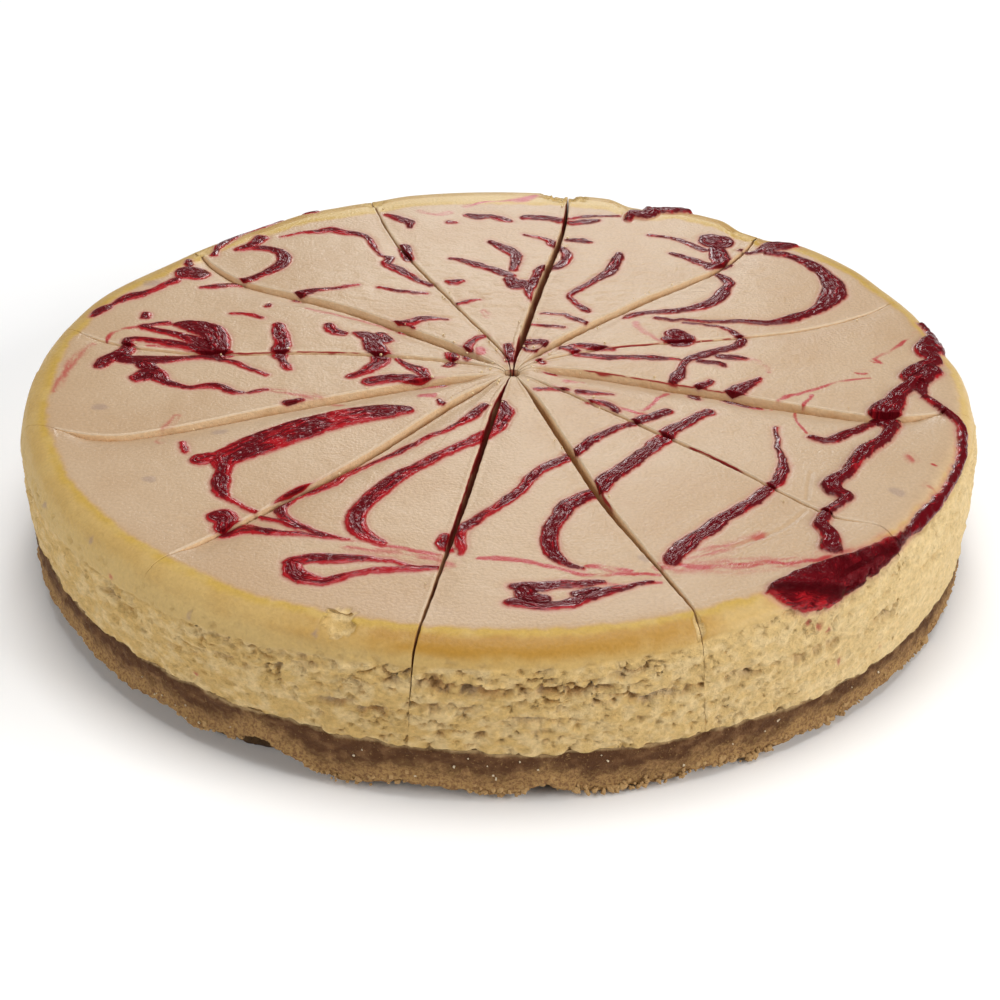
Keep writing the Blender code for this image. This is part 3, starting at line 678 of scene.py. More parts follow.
    (Jam.STREAK, ((-109, 19, .4), (-108, 23, .5), (-104, 26, .6), (-97, 28, .6), (-90, 30, .6))),
    (Jam.FAINT, ((-118, -10, .8), (-117, 0, 1.0), (-115, 10, 1.0), (-112, 17, .7))),
    (Jam.BAKED, ((-48, 29, 1.4), (-47, 26, 2.0), (-44, 23.5, 1.4))),
    (Jam.BAKED, (
        (-40, 24, 1.2), (-36, 22, 3.0), (-35, 17, 3.0), (-33, 12, 2.8), (-33, 7, 2.6), (-36, 2, 2.0),
        (-40, -1, 1.2))),
    (Jam.BAKED, ((-33, 25, 1.4), (-31, 20, 2.0))),
    (Jam.BAKED, ((-28, 10, 1.0), (-25, 6, 1.6), (-22, 3, 2.0), (-20, 0, 1.6))),
    (Jam.FAINT, ((-55, 40, .5), (-45, 36, .7), (-35, 32, .7), (-28, 28, .5))),
    (Jam.BAKED, ((-58, 47.5, 2.0), (-54, 50, 1.4), (-50, 51.5, 1.0), (-45, 53, .8), (-41, 54, .5))),
    (Jam.BAKED, ((-35, 53, .6), (-31, 51.5, 1.0), (-26, 50, .8), (-21, 49.5, .5))),
    (Jam.BAKED, ((-30, 31, 1.2), (-26, 31, 1.8), (-22, 33.5, 1.6), (-18, 34, .8), (-15, 34, .4))),
    (Jam.BAKED, ((-27, 28, 1.4), (-25, 28, 1.4))),
    (Jam.BAKED, ((-29, 81, 1.6), (-28, 77, 2.0), (-27, 72, 1.6))),
    (Jam.BAKED, ((-35, 103, .8), (-31, 100, 2.0), (-28, 98, 1.8), (-27.5, 94, .8))),
    (Jam.BAKED, ((-16, 98, .9), (-14, 98, .9))),
    (Jam.STREAK, ((-11, 111, 1.4), (-6, 113, .7), (2, 115, .8), (6, 115.5, 2.0), (11, 118.5, 1.2))),
    (Jam.BAKED, ((-10, 103.5, 1.4), (-7, 102.5, 2.0), (-3, 103, 1.4), (0, 101.5, 1.8), (3, 100, 1.2))),
    (Jam.FAINT, ((-25, 106, .9), (-20, 104, .9), (-16, 105, .9))),
    (Jam.BAKED, ((-15, 72.5, .8), (-10, 71, 1.4), (-5, 67, 1.4), (-1, 64.5, 1.6), (3, 61, 1.4))),
    (Jam.BAKED, ((-15, 57, 1.0), (-13, 56.5, 1.8), (-11, 57, 1.0))),
    (Jam.BAKED, ((-12, 43, .8), (-9, 44.5, 1.0), (-6, 45, .5))),
    (Jam.BAKED, ((-14, 6, 1.2), (-13, 8, 1.6), (-13, 13, 2.0), (-12, 16, 1.2))),
    (Jam.BAKED, ((-9, 9, 1.0), (-8.5, 13, 1.4), (-8.5, 18, 1.4), (-6, 22, 1.2), (-4, 23.5, .8))),
    (Jam.STREAK, ((-5, 13, 1.8), (-5, 15, 1.8))),
    (Jam.BAKED, ((2.5, 18, 1.2), (3, 8, 1.0))),
    # Back right.
    (Jam.BAKED, ((8, 102.5, 1.6), (14, 102, 1.8), (18, 100, 1.8))),
    (Jam.BAKED, ((21, 102, .6), (28, 103.5, .8), (36, 103.5, .8))),
    (Jam.BAKED, ((22, 99, 1.6), (27, 99.5, 1.6), (30, 100, .8))),
    (Jam.THICK, (
        (39, 101, 1.2), (41, 105, 2.2), (45, 104, 2.6), (47, 106.5, 2.4), (47, 111, 2.6), (52, 109, 3.0),
        (56, 109, 2.8), (58, 108, 1.6))),
    (Jam.BAKED, ((7, 90, .5), (12, 87.5, .8), (15, 85, 1.2), (17.5, 81, 1.4))),
    (Jam.BAKED, (
        (18.5, 81, 1.2), (20, 77, 1.4), (19.5, 72, 1.6), (17, 68, 1.6), (12, 66, 1.6), (11, 62, 1.5),
        (10, 57, 1.6), (8, 52, 1.4), (9, 45, .5))),
    (Jam.BAKED, ((3, 58, 2.0), (5, 54, 2.6), (7, 56, 2.4))),
    (Jam.BAKED, ((20, 86.5, .8), (24, 86.5, 1.6), (27, 85, 1.0))),
    (Jam.BAKED, ((-3, 85, 1.0), (0, 82, 1.6), (3, 78, 2.0), (5, 75, 1.8), (4.5, 69, 1.4), (4, 65, 1.2))),
    (Jam.BAKED, (
        (35.5, 76.5, 1.4), (34.5, 72, 1.6), (33, 66, 1.8), (30, 61, 1.4), (26, 56, 1.2), (22, 51, 1.2),
        (20, 48.5, .8), (21.5, 44, .8), (24, 40, 1.4), (25, 38.5, .8))),
    (Jam.BAKED, ((45, 90, .8), (50, 89, .8), (55, 86, 1.0), (58, 82.5, 1.4), (61, 80, 1.6))),
    (Jam.BAKED, ((64, 86.5, 4.6), (66, 85.5, 4.6))),
    (Jam.BAKED, ((65, 80, 2.6), (65, 75, 3.0), (66, 71.5, 2.8), (62, 68, 2.0))),
    (Jam.BAKED, ((51, 77.5, .8), (55, 74.5, 1.4), (59, 71.5, 1.6), (62, 69, 1.8))),
    (Jam.BAKED, (
        (64, 64, 1.0), (66, 60, 1.6), (66, 55, 1.4), (64, 50, 2.0), (62, 46, 2.2), (58, 42.5, 1.8),
        (53, 40, 1.4), (47, 39, 1.4), (42, 39, 1.0), (38, 38, 1.4), (36, 36, 1.0))),
    (Jam.FAINT, ((38, 32, .6), (42, 24, .6), (45, 20, .5))),
    (Jam.RAISED, ((72, 80, .8), (76, 79.5, 1.0), (80, 82, 2.6), (84, 83, 3.4), (87, 83.5, 2.6))),
    (Jam.RAISED, (
        (80, 78.5, 1.2), (84, 77, 1.4), (88, 74, 1.6), (91, 71, 2.0), (94, 66, 2.4), (96, 60, 3.0),
        (97, 55, 3.4), (96, 50, 3.6), (94, 45, 3.2), (91, 41, 2.2), (86, 37, 1.8), (82, 34.5, 2.0),
        (77, 32, 1.6), (72, 32, 1.2), (66, 33, 1.0), (60, 33, .8), (54, 33.5, .6), (48, 34, .6),
        (44, 35, .8))),
    (Jam.BAKED, ((49, 25, 3.0), (51, 22, 3.2), (48, 21, 2.0), (46, 22, 1.4))),
    (Jam.BAKED, (
        (52, 32, .4), (58, 31, .5), (63, 28.5, .8), (66, 25, 1.2), (67, 22, 1.4), (65, 18, 1.6),
        (60, 15.5, 1.6), (56, 13, 1.8), (52, 10, 1.4), (50, 7, 1.0), (49, 3, 1.4), (48, 0, 2.0),
        (46, -5, 1.0))),
    (Jam.BAKED, ((60, 12, 1.2), (64, 11.5, 1.6), (67, 11, .8))),
    (Jam.BAKED, ((55, 9, 1.0), (60, 8, 1.0), (61, 6, .6))),
    (Jam.FAINT, ((66, 11, .6), (70, 9.5, .7), (73, 6, .7), (73, 2.5, .5))),
    (Jam.BAKED, (
        (8, 20, 1.6), (12, 19.5, 1.6), (13, 16.5, 1.0), (10, 14.5, .8), (7, 16, .8), (7.5, 19, .8))),
    (Jam.BAKED, (
        (18, 17, 1.6), (21, 14, 1.6), (25, 12, 1.4), (30, 11, 1.4), (36, 11, 1.4), (42, 11, 1.2),
        (46, 10.5, .8), (49, 10, .6))),
    (Jam.BAKED, ((20, 18.5, 1.0), (24, 17.5, 1.8), (28, 16.5, 1.6), (31, 16, .8))),
    (Jam.BAKED, ((11, 9, 1.0), (12, 7, .6))),
    (Jam.BAKED, ((12, 38, .4), (18, 36, .6), (22, 33, 1.0), (24, 31, .8))),
    (Jam.BAKED, ((9, 31, .6), (14, 29.5, .8), (18, 28.5, .6))),
    (Jam.FAINT, ((-5, 38, .7), (-3, 35, .7))),
    (Jam.THICK, (
        (119, 34, .8), (121, 30, 1.8), (121.5, 25, 2.6), (120, 20, 3.6), (117, 15, 3.0), (119, 10, 2.4),
        (115, 6, 2.6), (112, 3, 2.4), (110, 0, 2.2))),
    (Jam.STREAK, ((112, 58, .8), (114, 54, 1.2), (115, 51, .8))),
    (Jam.STREAK, ((117, 28, .5), (112, 21, .6), (107, 15, .6), (103, 11, .6), (104, 8, .5))),
    (Jam.STREAK, ((101.8, 9.4, .4), (103, 10.4, .4), (104.2, 9.2, .4), (103, 8, .4), (101.8, 9.2, .4))),
    (Jam.STREAK, ((97.5, 3, 1.3), (98.5, 3, 1.3))),
    # Dull purple spots under the surface.
    (Jam.DULL, ((-105.5, -19, 1.0), (-104.5, -19, 1.0))),
    (Jam.DULL, ((-72.5, -31, .9), (-71.5, -31, .9))),
    (Jam.DULL, ((-87.5, -56, .9), (-86.5, -56, .9))),
    (Jam.DULL, ((-102, 55, 1.2), (-100, 55, 1.2))),
    (Jam.DULL, ((98, -59, 1.0), (99, -60, 1.0))),
    (Jam.DULL, ((34, -89, .5), (35, -90, .5))),
)


@dataclass(frozen=True)
class JamMap:
    """Where the jam lies on the top and over the rim."""

    # How far beyond its half width a line is looked for, and the length of its straight pieces.
    margin: float = 9.0
    spacing: float = 1.4
    # Shift of the noise along each line from the last one's, in mm.
    line_shift: float = 37.0
    # Lower edge of the jam that ran over the rim: bearing, mm below the rim.
    spill: Places = (
        (-62, -3), (-58.5, 0.6), (-57, 3.0), (-55, 5.5), (-52, 7.0), (-50, 7.0), (-48, 5.6), (-46, 4.6),
        (-44, 4.2), (-42, 4.4), (-40, 4.0), (-38.5, 2.6), (-37, 0.0), (-36, -3))
    # The bearings between which it lies.
    spill_reach: tuple[float, float] = (-61.0, -36.0)
    # Spots on the wall: bearing, mm below the rim, radius in mm, how it lies.
    wall_spots: tuple[tuple[float, float, float, Jam], ...] = (
        (-150, 6, 1.1, Jam.DULL), (-140, 3.5, 0.9, Jam.DULL), (-123.5, 7, 1.0, Jam.DULL),
        (-109, 3, 0.8, Jam.DULL), (-135.5, 8, 0.8, Jam.STREAK), (-123.5, 24, 0.8, Jam.STREAK),
        (-49.5, 25, 1.2, Jam.STREAK), (-54.5, 8.8, 1.0, Jam.STREAK), (-53, 10.5, 1.1, Jam.STREAK),
        (-51.5, 12.6, 0.8, Jam.STREAK), (-42, 28, 1.0, Jam.FAINT), (60, 12, 1.0, Jam.DULL),
        (95, 7, 0.9, Jam.DULL), (150, 15, 0.9, Jam.STREAK), (20, 19, 1.0, Jam.FAINT),
        (125, 22, 0.9, Jam.DULL), (-170, 12, 0.8, Jam.STREAK))
    # Jam smeared down a cut by the knife: cut, from, to (mm from the meeting
    # point), depth in mm.
    smears: Places = (
        (0, 3, 24, 9), (0, 96, 128, 5), (6, 3, 88, 4.5), (11, 3, 14, 2), (9, 44, 80, 1.2), (4, 60, 78, 2),
        (5, 66, 74, 3), (2, 30, 70, 1.6), (3, 20, 60, 1.2))

    def read(self, x: Array, y: Array) -> dict[str, Array]:
        """Read the jam at places on the top.

        For each line, the distance to each of its straight pieces less the
        half width there is taken, and the smallest is kept: it is negative
        inside the jam. The places are first moved a little by noise, so that
        the edges wander.

        Args:
            x: Places, in mm.
            y: Places, in mm.

        Returns:
            Fields by name: jam (distance), crest (height), run and side
            (along and across the nearest line), stain and dull (strengths).
        """
        shape = np.shape(x)
        warp_x = x + 0.85 * layers(x / 4.8, y / 4.8, 0.3, 51, 3)
        warp_y = y + 0.85 * layers(x / 4.8, y / 4.8, 8.3, 55, 3)
        px, py = warp_x.ravel(), warp_y.ravel()
        out = {key: np.zeros(px.shape) for key in ("jam", "crest", "run", "side", "stain", "dull")}
        out["jam"] += FAR
        for number, (kind, places) in enumerate(JAM_LINES):
            rows = np.array(places, dtype=float)
            reach = self.margin + rows[:, 2].max()
            near = np.flatnonzero((px > rows[:, 0].min() - reach) & (px < rows[:, 0].max() + reach)
                                  & (py > rows[:, 1].min() - reach) & (py < rows[:, 1].max() + reach))
            if not len(near):
                continue
            total = np.linalg.norm(np.diff(rows[:, :2], axis=0), axis=1).sum()
            path = smooth_path(rows, np.linspace(0.0, total, max(3, round(total / self.spacing) + 1)))
            gap, run, side = self.nearest(px[near], py[near], path)
            height, strength = kind.value
            if kind in (Jam.BAKED, Jam.RAISED, Jam.THICK):
                closer = gap < out["jam"][near]
                chosen = near[closer]
                out["jam"][chosen] = gap[closer]
                out["run"][chosen] = run[closer] + self.line_shift * number
                out["side"][chosen] = side[closer]
                out["crest"][chosen] = np.maximum(out["crest"][chosen] * (gap[closer] > 0.4), height)
            elif kind is Jam.DULL:
                spot = strength * np.exp(-np.maximum(gap, 0.0) ** 2 / 0.8)
                out["dull"][near] = np.maximum(out["dull"][near], spot)
            else:
                half = np.maximum(np.abs(side) - gap, 0.3) * (1.15 if kind is Jam.STREAK else 2.0)
                uneven = 1.0 + 1.1 * layers(run / 5.0, side / 0.9, number, 57, 2)
                fade = np.exp(-(side / half) ** 2) * np.clip(uneven, 0.15, 1.3)
                out["stain"][near] = np.maximum(out["stain"][near], strength * fade)
        out["blush"] = (0.55 * layers(px / 7.0, py / 7.0, 2.0, 58, 3) - 0.35 * ease(-40.0, 60.0, px)
                        + 0.25 * (py < -20.0) * (px < 0.0))
        return {key: value.reshape(shape) for key, value in out.items()}

    @staticmethod
    def nearest(px: Array, py: Array, path: Array) -> tuple[Array, Array, Array]:
        """Nearest place on a chain with widths.

        Args:
            px: Places, in mm.
            py: Places, in mm.
            path: Rows of x, y, half width.

        Returns:
            Distance less the half width, length along the chain, and distance
            across it with a sign.
        """
        start, step = path[:-1], np.diff(path, axis=0)
        length = np.maximum(np.hypot(step[:, 0], step[:, 1]), 1e-6)
        along = np.concatenate(([0.0], np.cumsum(length)[:-1]))
        dx, dy = px[:, None] - start[:, 0], py[:, None] - start[:, 1]
        share = np.clip((dx * step[:, 0] + dy * step[:, 1]) / length ** 2, 0.0, 1.0)
        off_x, off_y = dx - share * step[:, 0], dy - share * step[:, 1]
        away = np.hypot(off_x, off_y)
        gap = away - np.maximum(start[:, 2] + share * step[:, 2], 0.1)
        best = gap.argmin(axis=1)
        row = np.arange(len(px))
        sign = np.sign(step[best, 0] * dy[row, best] - step[best, 1] * dx[row, best])
        return gap[row, best], along[best] + share[row, best] * length[best], away[row, best] * sign

    def over_rim(self, fields: dict[str, Array], bearing: Array, drop: Array, radius: Array) -> None:
        """Add the jam that ran down the wall, and the wall's spots, to the fields.

        The lines of the top fade below the rim. They and the spill are joined
        by a smooth union, -k ln(exp(-a / k) + exp(-b / k)).

        Args:
            fields: Fields from read, changed in place.
            bearing: Bearing of each point, in degrees.
            drop: Depth below the rim, in mm.
            radius: Distance from the axis, in mm.
        """
        east, north = around_at(bearing, radius)
        wave = layers(east / 4.2, north / 4.2, drop / 4.2, 61, 2)
        level = by_bearing(self.spill, bearing) + wave
        uneven = 1.5 * layers(east / 4.5, north / 4.5, 9.0, 65, 2)
        rim_start = 120.8 + 2.2 * ease(-48.0, -38.0, bearing) + uneven
        gap = np.maximum(0.8 * (drop - level), rim_start - radius)
        first, last = self.spill_reach
        gap = np.where((bearing > first) & (bearing < last), gap, FAR)
        rope = np.minimum(fields["jam"] + np.maximum(drop - 2.2, 0.0) * 1.6, FAR)
        share = 1.0 / (1.0 + np.exp(np.clip((gap - rope) / 0.7, -30.0, 30.0)))
        crest = 0.95 + 0.7 * layers(east / 3.2, north / 3.2, drop / 3.0, 63, 2)
        blush = 0.3 + 0.5 * layers(east / 4.0, north / 4.0, drop / 3.0, 69, 2)
        mm_per_degree = 2.2
        own = {"run": bearing * mm_per_degree, "side": drop, "crest": crest, "blush": blush}
        for key, value in own.items():
            fields[key] = fields[key] + (value - fields[key]) * share
        nearer = np.minimum(rope, gap)
        fields["jam"] = np.where(nearer < 3.0, -0.8 * np.logaddexp(-rope / 0.8, -gap / 0.8), nearer)
        for key in ("stain", "dull"):
            fields[key] = fields[key] * np.exp(-np.maximum(drop, 0.0) / 1.5)
        move = 1.1 * layers(east / 1.7, north / 1.7, drop / 1.7, 67, 2)
        for where, below, size, kind in self.wall_spots:
            across = turn(bearing, where) * mm_per_degree + move
            away = np.hypot(across, 0.8 * (drop - below) - 0.7 * move) / size
            target = "dull" if kind is Jam.DULL else "stain"
            strength = 1.5 if kind is Jam.DULL else 0.75
            fields[target] = np.maximum(fields[target], strength * kind.value[1] * np.exp(-away * away))

    def smeared(self, cut: int, rho: Array, depth: Array) -> Array:
        """Strength of the jam smeared on a cut face by the knife, from 0 to 1."""
        stain = np.zeros(np.broadcast(rho, depth).shape)
        for index, low, high, deep in self.smears:
            if int(index) == cut:
                ragged = deep * (0.7 + 0.5 * layers(rho / 5.0, 0.0, 0.0, 71 + cut, 2))
                inside = ease(low - 2.0, low + 1.0, rho) * (1.0 - ease(high - 5.0, high + 3.0, rho))
                stain = np.maximum(stain, inside * (1.0 - ease(0.6, 1.15, depth / ragged)))
        return stain


# Finishes.

Colour = tuple[float, float, float]


class Graph:
    """Builds the nodes of one finish; sizes are in mm."""

    def __init__(self, name: str) -> None:
        """Start a material with only its shader."""
        self.material = bpy.data.materials.new(name)
        self.material.use_nodes = True
        self.tree = self.material.node_tree
        self.shader = self.tree.nodes["Principled BSDF"]
        self.place = self.tree.nodes.new("ShaderNodeTexCoord").outputs["Object"]

    def join(self, socket: Any, value: Any) -> None:
        """Set a socket to a number or colour, or link another socket to it."""
        if isinstance(value, bpy.types.NodeSocket):
            self.tree.links.new(value, socket)
        elif isinstance(value, tuple) and len(value) == 3 and socket.type == "RGBA":
            socket.default_value = (*value, 1.0)
        else:
            socket.default_value = value

    def add(self, kind: str, inputs: dict[Any, Any], **settings: Any) -> Any:
        """Add a node.

        Args:
            kind: Its type, without the leading ShaderNode.
            inputs: Values or sockets by the input's name or number.
            **settings: The node's own settings.

        Returns:
            The node.
        """
        node = self.tree.nodes.new("ShaderNode" + kind)
        for key, value in settings.items():
            setattr(node, key, value)
        for key, value in inputs.items():
            self.join(node.inputs[key], value)
        return node

    def read(self, name: str, output: str = "Fac") -> Any:
        """Return a field of the piece, as a number or, with Color, as a colour."""
        return self.add("Attribute", {}, attribute_name=name).outputs[output]

    def sum(self, kind: str, a: Any, b: Any = 0.0) -> Any:
        """Return a sum, product or other operation on two values."""
        return self.add("Math", {0: a, 1: b}, operation=kind).outputs[0]

    def step(self, value: Any, low: float, high: float, top: float = 1.0) -> Any:
        """Return a smooth step from 0 at low to top at high."""
        inputs = {"Value": value, "From Min": low, "From Max": high, "To Min": 0.0, "To Max": top}
        return self.add("MapRange", inputs, interpolation_type="SMOOTHSTEP").outputs["Result"]

    def noise(self, size: float, detail: float = 2.0, stretch: Colour = (1.0, 1.0, 1.0), rough: float = 0.5,
              source: Any = None, bend: float = 0.0) -> Any:
        """Return a cloudy value from 0 to 1 with features of the given size.

        Args:
            size: Feature size in mm.
            detail: Number of finer layers.
            stretch: Factor on the size along each axis.
            rough: Strength of the finer layers.
            source: Coordinates in mm to use in place of the object's own.
            bend: Distortion.

        Returns:
            The value's socket.
        """
        unit = 1.0 if source is not None else 1.0 / MM
        place = self.add("Mapping", {"Vector": self.place if source is None else source,
                                     "Scale": tuple(unit / (size * part) for part in stretch)})
        return self.add("TexNoise", {"Vector": place.outputs["Vector"], "Scale": 1.0, "Detail": detail,
                                     "Roughness": rough, "Distortion": bend}).outputs[0]

    def bright(self, colour: Any, factor: Any) -> Any:
        """Return a colour times a number."""
        return self.add("VectorMath", {0: colour, "Scale": factor}, operation="SCALE").outputs[0]

    def flat(self, x: Any, y: Any) -> Any:
        """Return coordinates made of two values."""
        return self.add("CombineXYZ", {0: x, 1: y}).outputs[0]

    def mix(self, share: Any, a: Any, b: Any) -> Any:
        """Return colour a where the share is 0 and b where it is 1."""
        return self.add("Mix", {0: share, 6: a, 7: b}, data_type="RGBA").outputs[2]

    def total(self, *parts: tuple[Any, Any]) -> Any:
        """Return the sum of products of pairs."""
        products = [self.sum("MULTIPLY", a, b) for a, b in parts]
        result = products[0]
        for one in products[1:]:
            result = self.sum("ADD", result, one)
        return result

    def relief(self, height: Any) -> None:
        """Bend the surface's light by a height in mm."""
        node = self.add("Bump", {"Strength": 1.0, "Distance": MM, "Height": height})
        self.join(self.shader.inputs["Normal"], node.outputs["Normal"])

    def set(self, **values: Any) -> None:
        """Set or link the shader's sockets by name, with _ for a space."""
        for key, value in values.items():
            self.join(self.shader.inputs[key.replace("_", " ")], value)


@dataclass(frozen=True)
class FillingFinish:
    """Baked cream cheese filling with berry jam."""

    top: Colour = (0.505, 0.355, 0.222)
    top_warm: Colour = (0.460, 0.300, 0.170)
    rim_line: Colour = (0.500, 0.280, 0.110)
    rim: Colour = (0.510, 0.325, 0.070)
    skin: Colour = (0.400, 0.205, 0.030)
    skin_pale: Colour = (0.560, 0.390, 0.150)
    crumb: Colour = (0.620, 0.410, 0.148)
    crumb_pale: Colour = (0.710, 0.515, 0.245)
    cream: Colour = (0.780, 0.600, 0.330)
    # Painted shade for the deep recesses of the torn wall.
    pit_shade: Colour = (0.500, 0.290, 0.120)
    pit_shade_grey: Colour = (0.480, 0.350, 0.220)
    # Painted highlight along the top edges of the cuts.
    painted_edge_highlight: Colour = (0.740, 0.600, 0.440)
    cut_edge: Colour = (0.780, 0.560, 0.340)
    # Painted shade for the cut faces, deeper down the cut.
    cut_deep_shade: Colour = (0.620, 0.345, 0.145)
    cut_dark: Colour = (0.330, 0.085, 0.045)
    jam_edge: Colour = (0.350, 0.008, 0.012)
    jam_body: Colour = (0.105, 0.003, 0.006)
    # Lighter red for the jam's strands, partly its own colour and partly painted highlight.
    jam_strand_and_highlight: Colour = (0.380, 0.012, 0.018)
    halo: Colour = (0.480, 0.200, 0.165)
    stain: Colour = (0.400, 0.040, 0.035)
    dull: Colour = (0.260, 0.180, 0.165)
    jam_sheen: Colour = (1.0, 0.36, 0.38)

    def tint(self, x: Array, y: Array, z: Array, bearing: Array, way: Array, crumb: Array, pit_shade: Array,
             gold: Array) -> Array:
        """Colour of the plain filling.

        The top is beige in broad clouds. Past its edge it turns orange in a
        thin line, then yellow, then golden skin, then pale crumb, with painted
        shade that darkens its deep recesses.
        darker in its pits.

        Args:
            x: Places, in mm.
            y: Places, in mm.
            z: Places, in mm.
            bearing: Bearings in degrees.
            way: Distance down from the edge of the flat top, in mm.
            crumb: Share that is bare crumb.
            pit_shade: Share that is a deep recess, darkened by painted shade.
            gold: How golden the skin is.

        Returns:
            Rows of red, green and blue.
        """
        cloud = layers(x / 30.0, y / 30.0, z / 30.0, 201, 3)
        colour = blend(self.top, self.top_warm, 0.7 * ease(-0.3, 0.5, cloud))
        wander = 0.7 * layers(x / 2.6, y / 2.6, z / 2.6, 205, 2) + 0.5 * grain(x / 9.0, y / 9.0, z / 9.0, 209)
        rim_at = (way + wander + 8.0 * np.exp(-(turn(bearing, 92.0) / 48.0) ** 2)
                  - 3.5 * np.exp(-(turn(bearing, -16.0) / 38.0) ** 2))
        colour = blend(colour, self.rim_line, 0.4 * ease(0.4, 1.6, rim_at))
        cloud = layers(x / 6.0, y / 6.0, z / 6.0, 211, 2)
        rim = blend(self.rim, self.skin_pale, 0.6 * ease(-0.1, 0.5, cloud))
        colour = blend(colour, rim, ease(1.0, 2.4, rim_at))
        cloud = ease(-0.45, 0.25, layers(x / 8.0, y / 8.0, z / 4.5, 215, 3))
        golden = np.clip(gold * (0.6 + 0.45 * cloud), 0.0, 1.0) * (1.0 - 0.65 * ease(7.5, 11.0, rim_at))
        colour = blend(colour, blend(self.skin_pale, self.skin, golden), ease(2.6, 5.0, rim_at))
        pale = blend(self.crumb, self.crumb_pale, ease(-0.25, 0.4, layers(x / 3.0, y / 3.0, z / 2.0, 219, 3)))
        # Paler, creamier wall towards the front right: partly its smoother pale crumb, partly painted light
        # from the right.
        creamy_and_lit = 0.65 * np.exp(-(turn(bearing, -22.0) / 42.0) ** 2)
        pale = blend(pale, self.cream, creamy_and_lit)
        colour = blend(colour, pale, np.maximum(crumb, 0.7 * creamy_and_lit * ease(2.0, 6.0, way)))
        # Painted shade: deep recesses are darkened towards grey-brown.
        recess = blend(self.pit_shade, self.pit_shade_grey, ease(-0.2, 0.3, layers(x / 7.0, y / 7.0, z / 5.0, 223, 2)))
        return blend(colour, recess, 0.9 * ease(0.15, 1.1, pit_shade))

    def spotted(self, colour: Array, dull: Array) -> Array:
        """Return the colour with dull purple spots, where jam lies under the surface."""
        return blend(colour, self.dull, 0.6 * ease(0.1, 0.9, dull))

    def cut_tint(self, x: Array, y: Array, z: Array, depth: Array, dark: Array) -> Array:
        """Colour of a cut face: creamy at the top edge, with painted shade making it warmer and darker below
        it.

        Args:
            x: Places, in mm.
            y: Places, in mm.
            z: Places, in mm.
            depth: Depth below the top, in mm.
            dark: How much jam was drawn down the face, from 0 to 1.

        Returns:
            Rows of red, green and blue.
        """
        cloud = layers(x / 5.0, y / 5.0, z / 3.0, 227, 3)
        # Painted shade: the face warms and darkens with depth down the narrow cut.
        colour = blend(self.cut_edge, self.cut_deep_shade, ease(0.3, 4.5, depth + 1.5 * cloud))
        return blend(colour, self.cut_dark, dark * ease(0.5, 5.0, depth + 2.0 * cloud))

    def berry(self, g: Graph) -> dict[str, Any]:
        """Build the nodes that the filling and its jam share.

        Args:
            g: The finish's graph.

        Returns:
            Sockets by name: fine and ragged (noise), strands (noise along the
            jam), edge (distance to the jam's wandering edge), body (its colour).
        """
        fine, ragged = g.noise(0.85, 2.0), g.noise(1.3, 2.0)
        strands = g.noise(1.0, 2.0, (4.4, 1.1, 1.0), 0.55, g.flat(g.read("run"), g.read("side")), 0.6)
        edge = g.total((g.read("jam"), 1.0), (ragged, 0.7), (-0.35, 1.0))
        depth = g.sum("MAXIMUM", edge, -1.1)
        deep = g.step(g.total((depth, 1.0), (strands, 3.2), (g.read("blush"), 1.6), (-1.5, 1.0)), 0.15, -0.85)
        body = g.mix(deep, self.jam_edge, self.jam_body)
        # Lighter red along the wrinkle strands: partly the jam's own colour, partly painted highlight.
        body = g.mix(g.step(strands, 0.58, 0.7, 0.6), body, self.jam_strand_and_highlight)
        return {"fine": fine, "ragged": ragged, "strands": strands, "edge": edge, "body": body}

    def make(self) -> bpy.types.Material:
        """Return the filling's material, which has the jam's outer edge in it."""
        g = Graph("baked_filling")
        stain, crumb = g.read("stain"), g.read("crumb")
        berry = self.berry(g)
        fine, ragged, edge = berry["fine"], berry["ragged"], berry["edge"]
        bits = g.noise(1.5, 4.0, (1.0, 1.0, 0.75), 0.65)
        smooth = g.sum("SUBTRACT", 1.0, crumb)
        speckle = g.total((g.total((fine, 0.36), (0.82, 1.0)), smooth),
                          (g.total((bits, 0.8), (0.6, 1.0)), crumb))
        colour = g.bright(g.read("tint", "Color"), speckle)
        # A pink halo round the jam, stained streaks, then the jam itself.
        inside = g.step(edge, 0.35, -0.2)
        halo = g.total((g.step(edge, 1.3, 0.1), 0.55), (g.step(edge, 3.0, 0.5), 0.08))
        colour = g.mix(halo, colour, self.halo)
        stained = g.sum("MULTIPLY", g.step(stain, 0.02, 0.8), g.step(g.sum("ADD", ragged, stain), 0.3, 0.95))
        colour = g.mix(stained, colour, self.stain)
        colour = g.mix(inside, colour, berry["body"])
        # Satin top, dull crumb, wet jam.
        share = g.sum("MAXIMUM", inside, g.sum("MULTIPLY", stained, 0.3))
        plain = g.total((crumb, 0.4), (0.4, 1.0))
        roughness = g.total((0.25, share), (plain, g.sum("SUBTRACT", 1.0, share)))
        g.set(Base_Color=colour, Roughness=roughness, Specular_IOR_Level=0.26)
        # Orange peel on the skin, pits in the crumb, wrinkles in the jam.
        plain = g.total((g.sum("MULTIPLY", fine, 0.13), smooth), (g.sum("MULTIPLY", bits, 1.1), crumb))
        g.relief(g.total((plain, g.sum("SUBTRACT", 1.0, inside)),
                         (g.sum("MULTIPLY", berry["strands"], 0.45), inside)))
        return g.material

    def make_jam(self) -> bpy.types.Material:
        """Return the jam's own material, glossy and wrinkled, with a red sheen."""
        g = Graph("berry_jam")
        berry = self.berry(g)
        g.set(Base_Color=berry["body"], Roughness=g.total((berry["ragged"], 0.25), (0.06, 1.0)),
              Specular_IOR_Level=0.08, Specular_Tint=self.jam_sheen)
        g.relief(g.total((berry["strands"], 0.6), (berry["fine"], 0.08)))
        return g.material


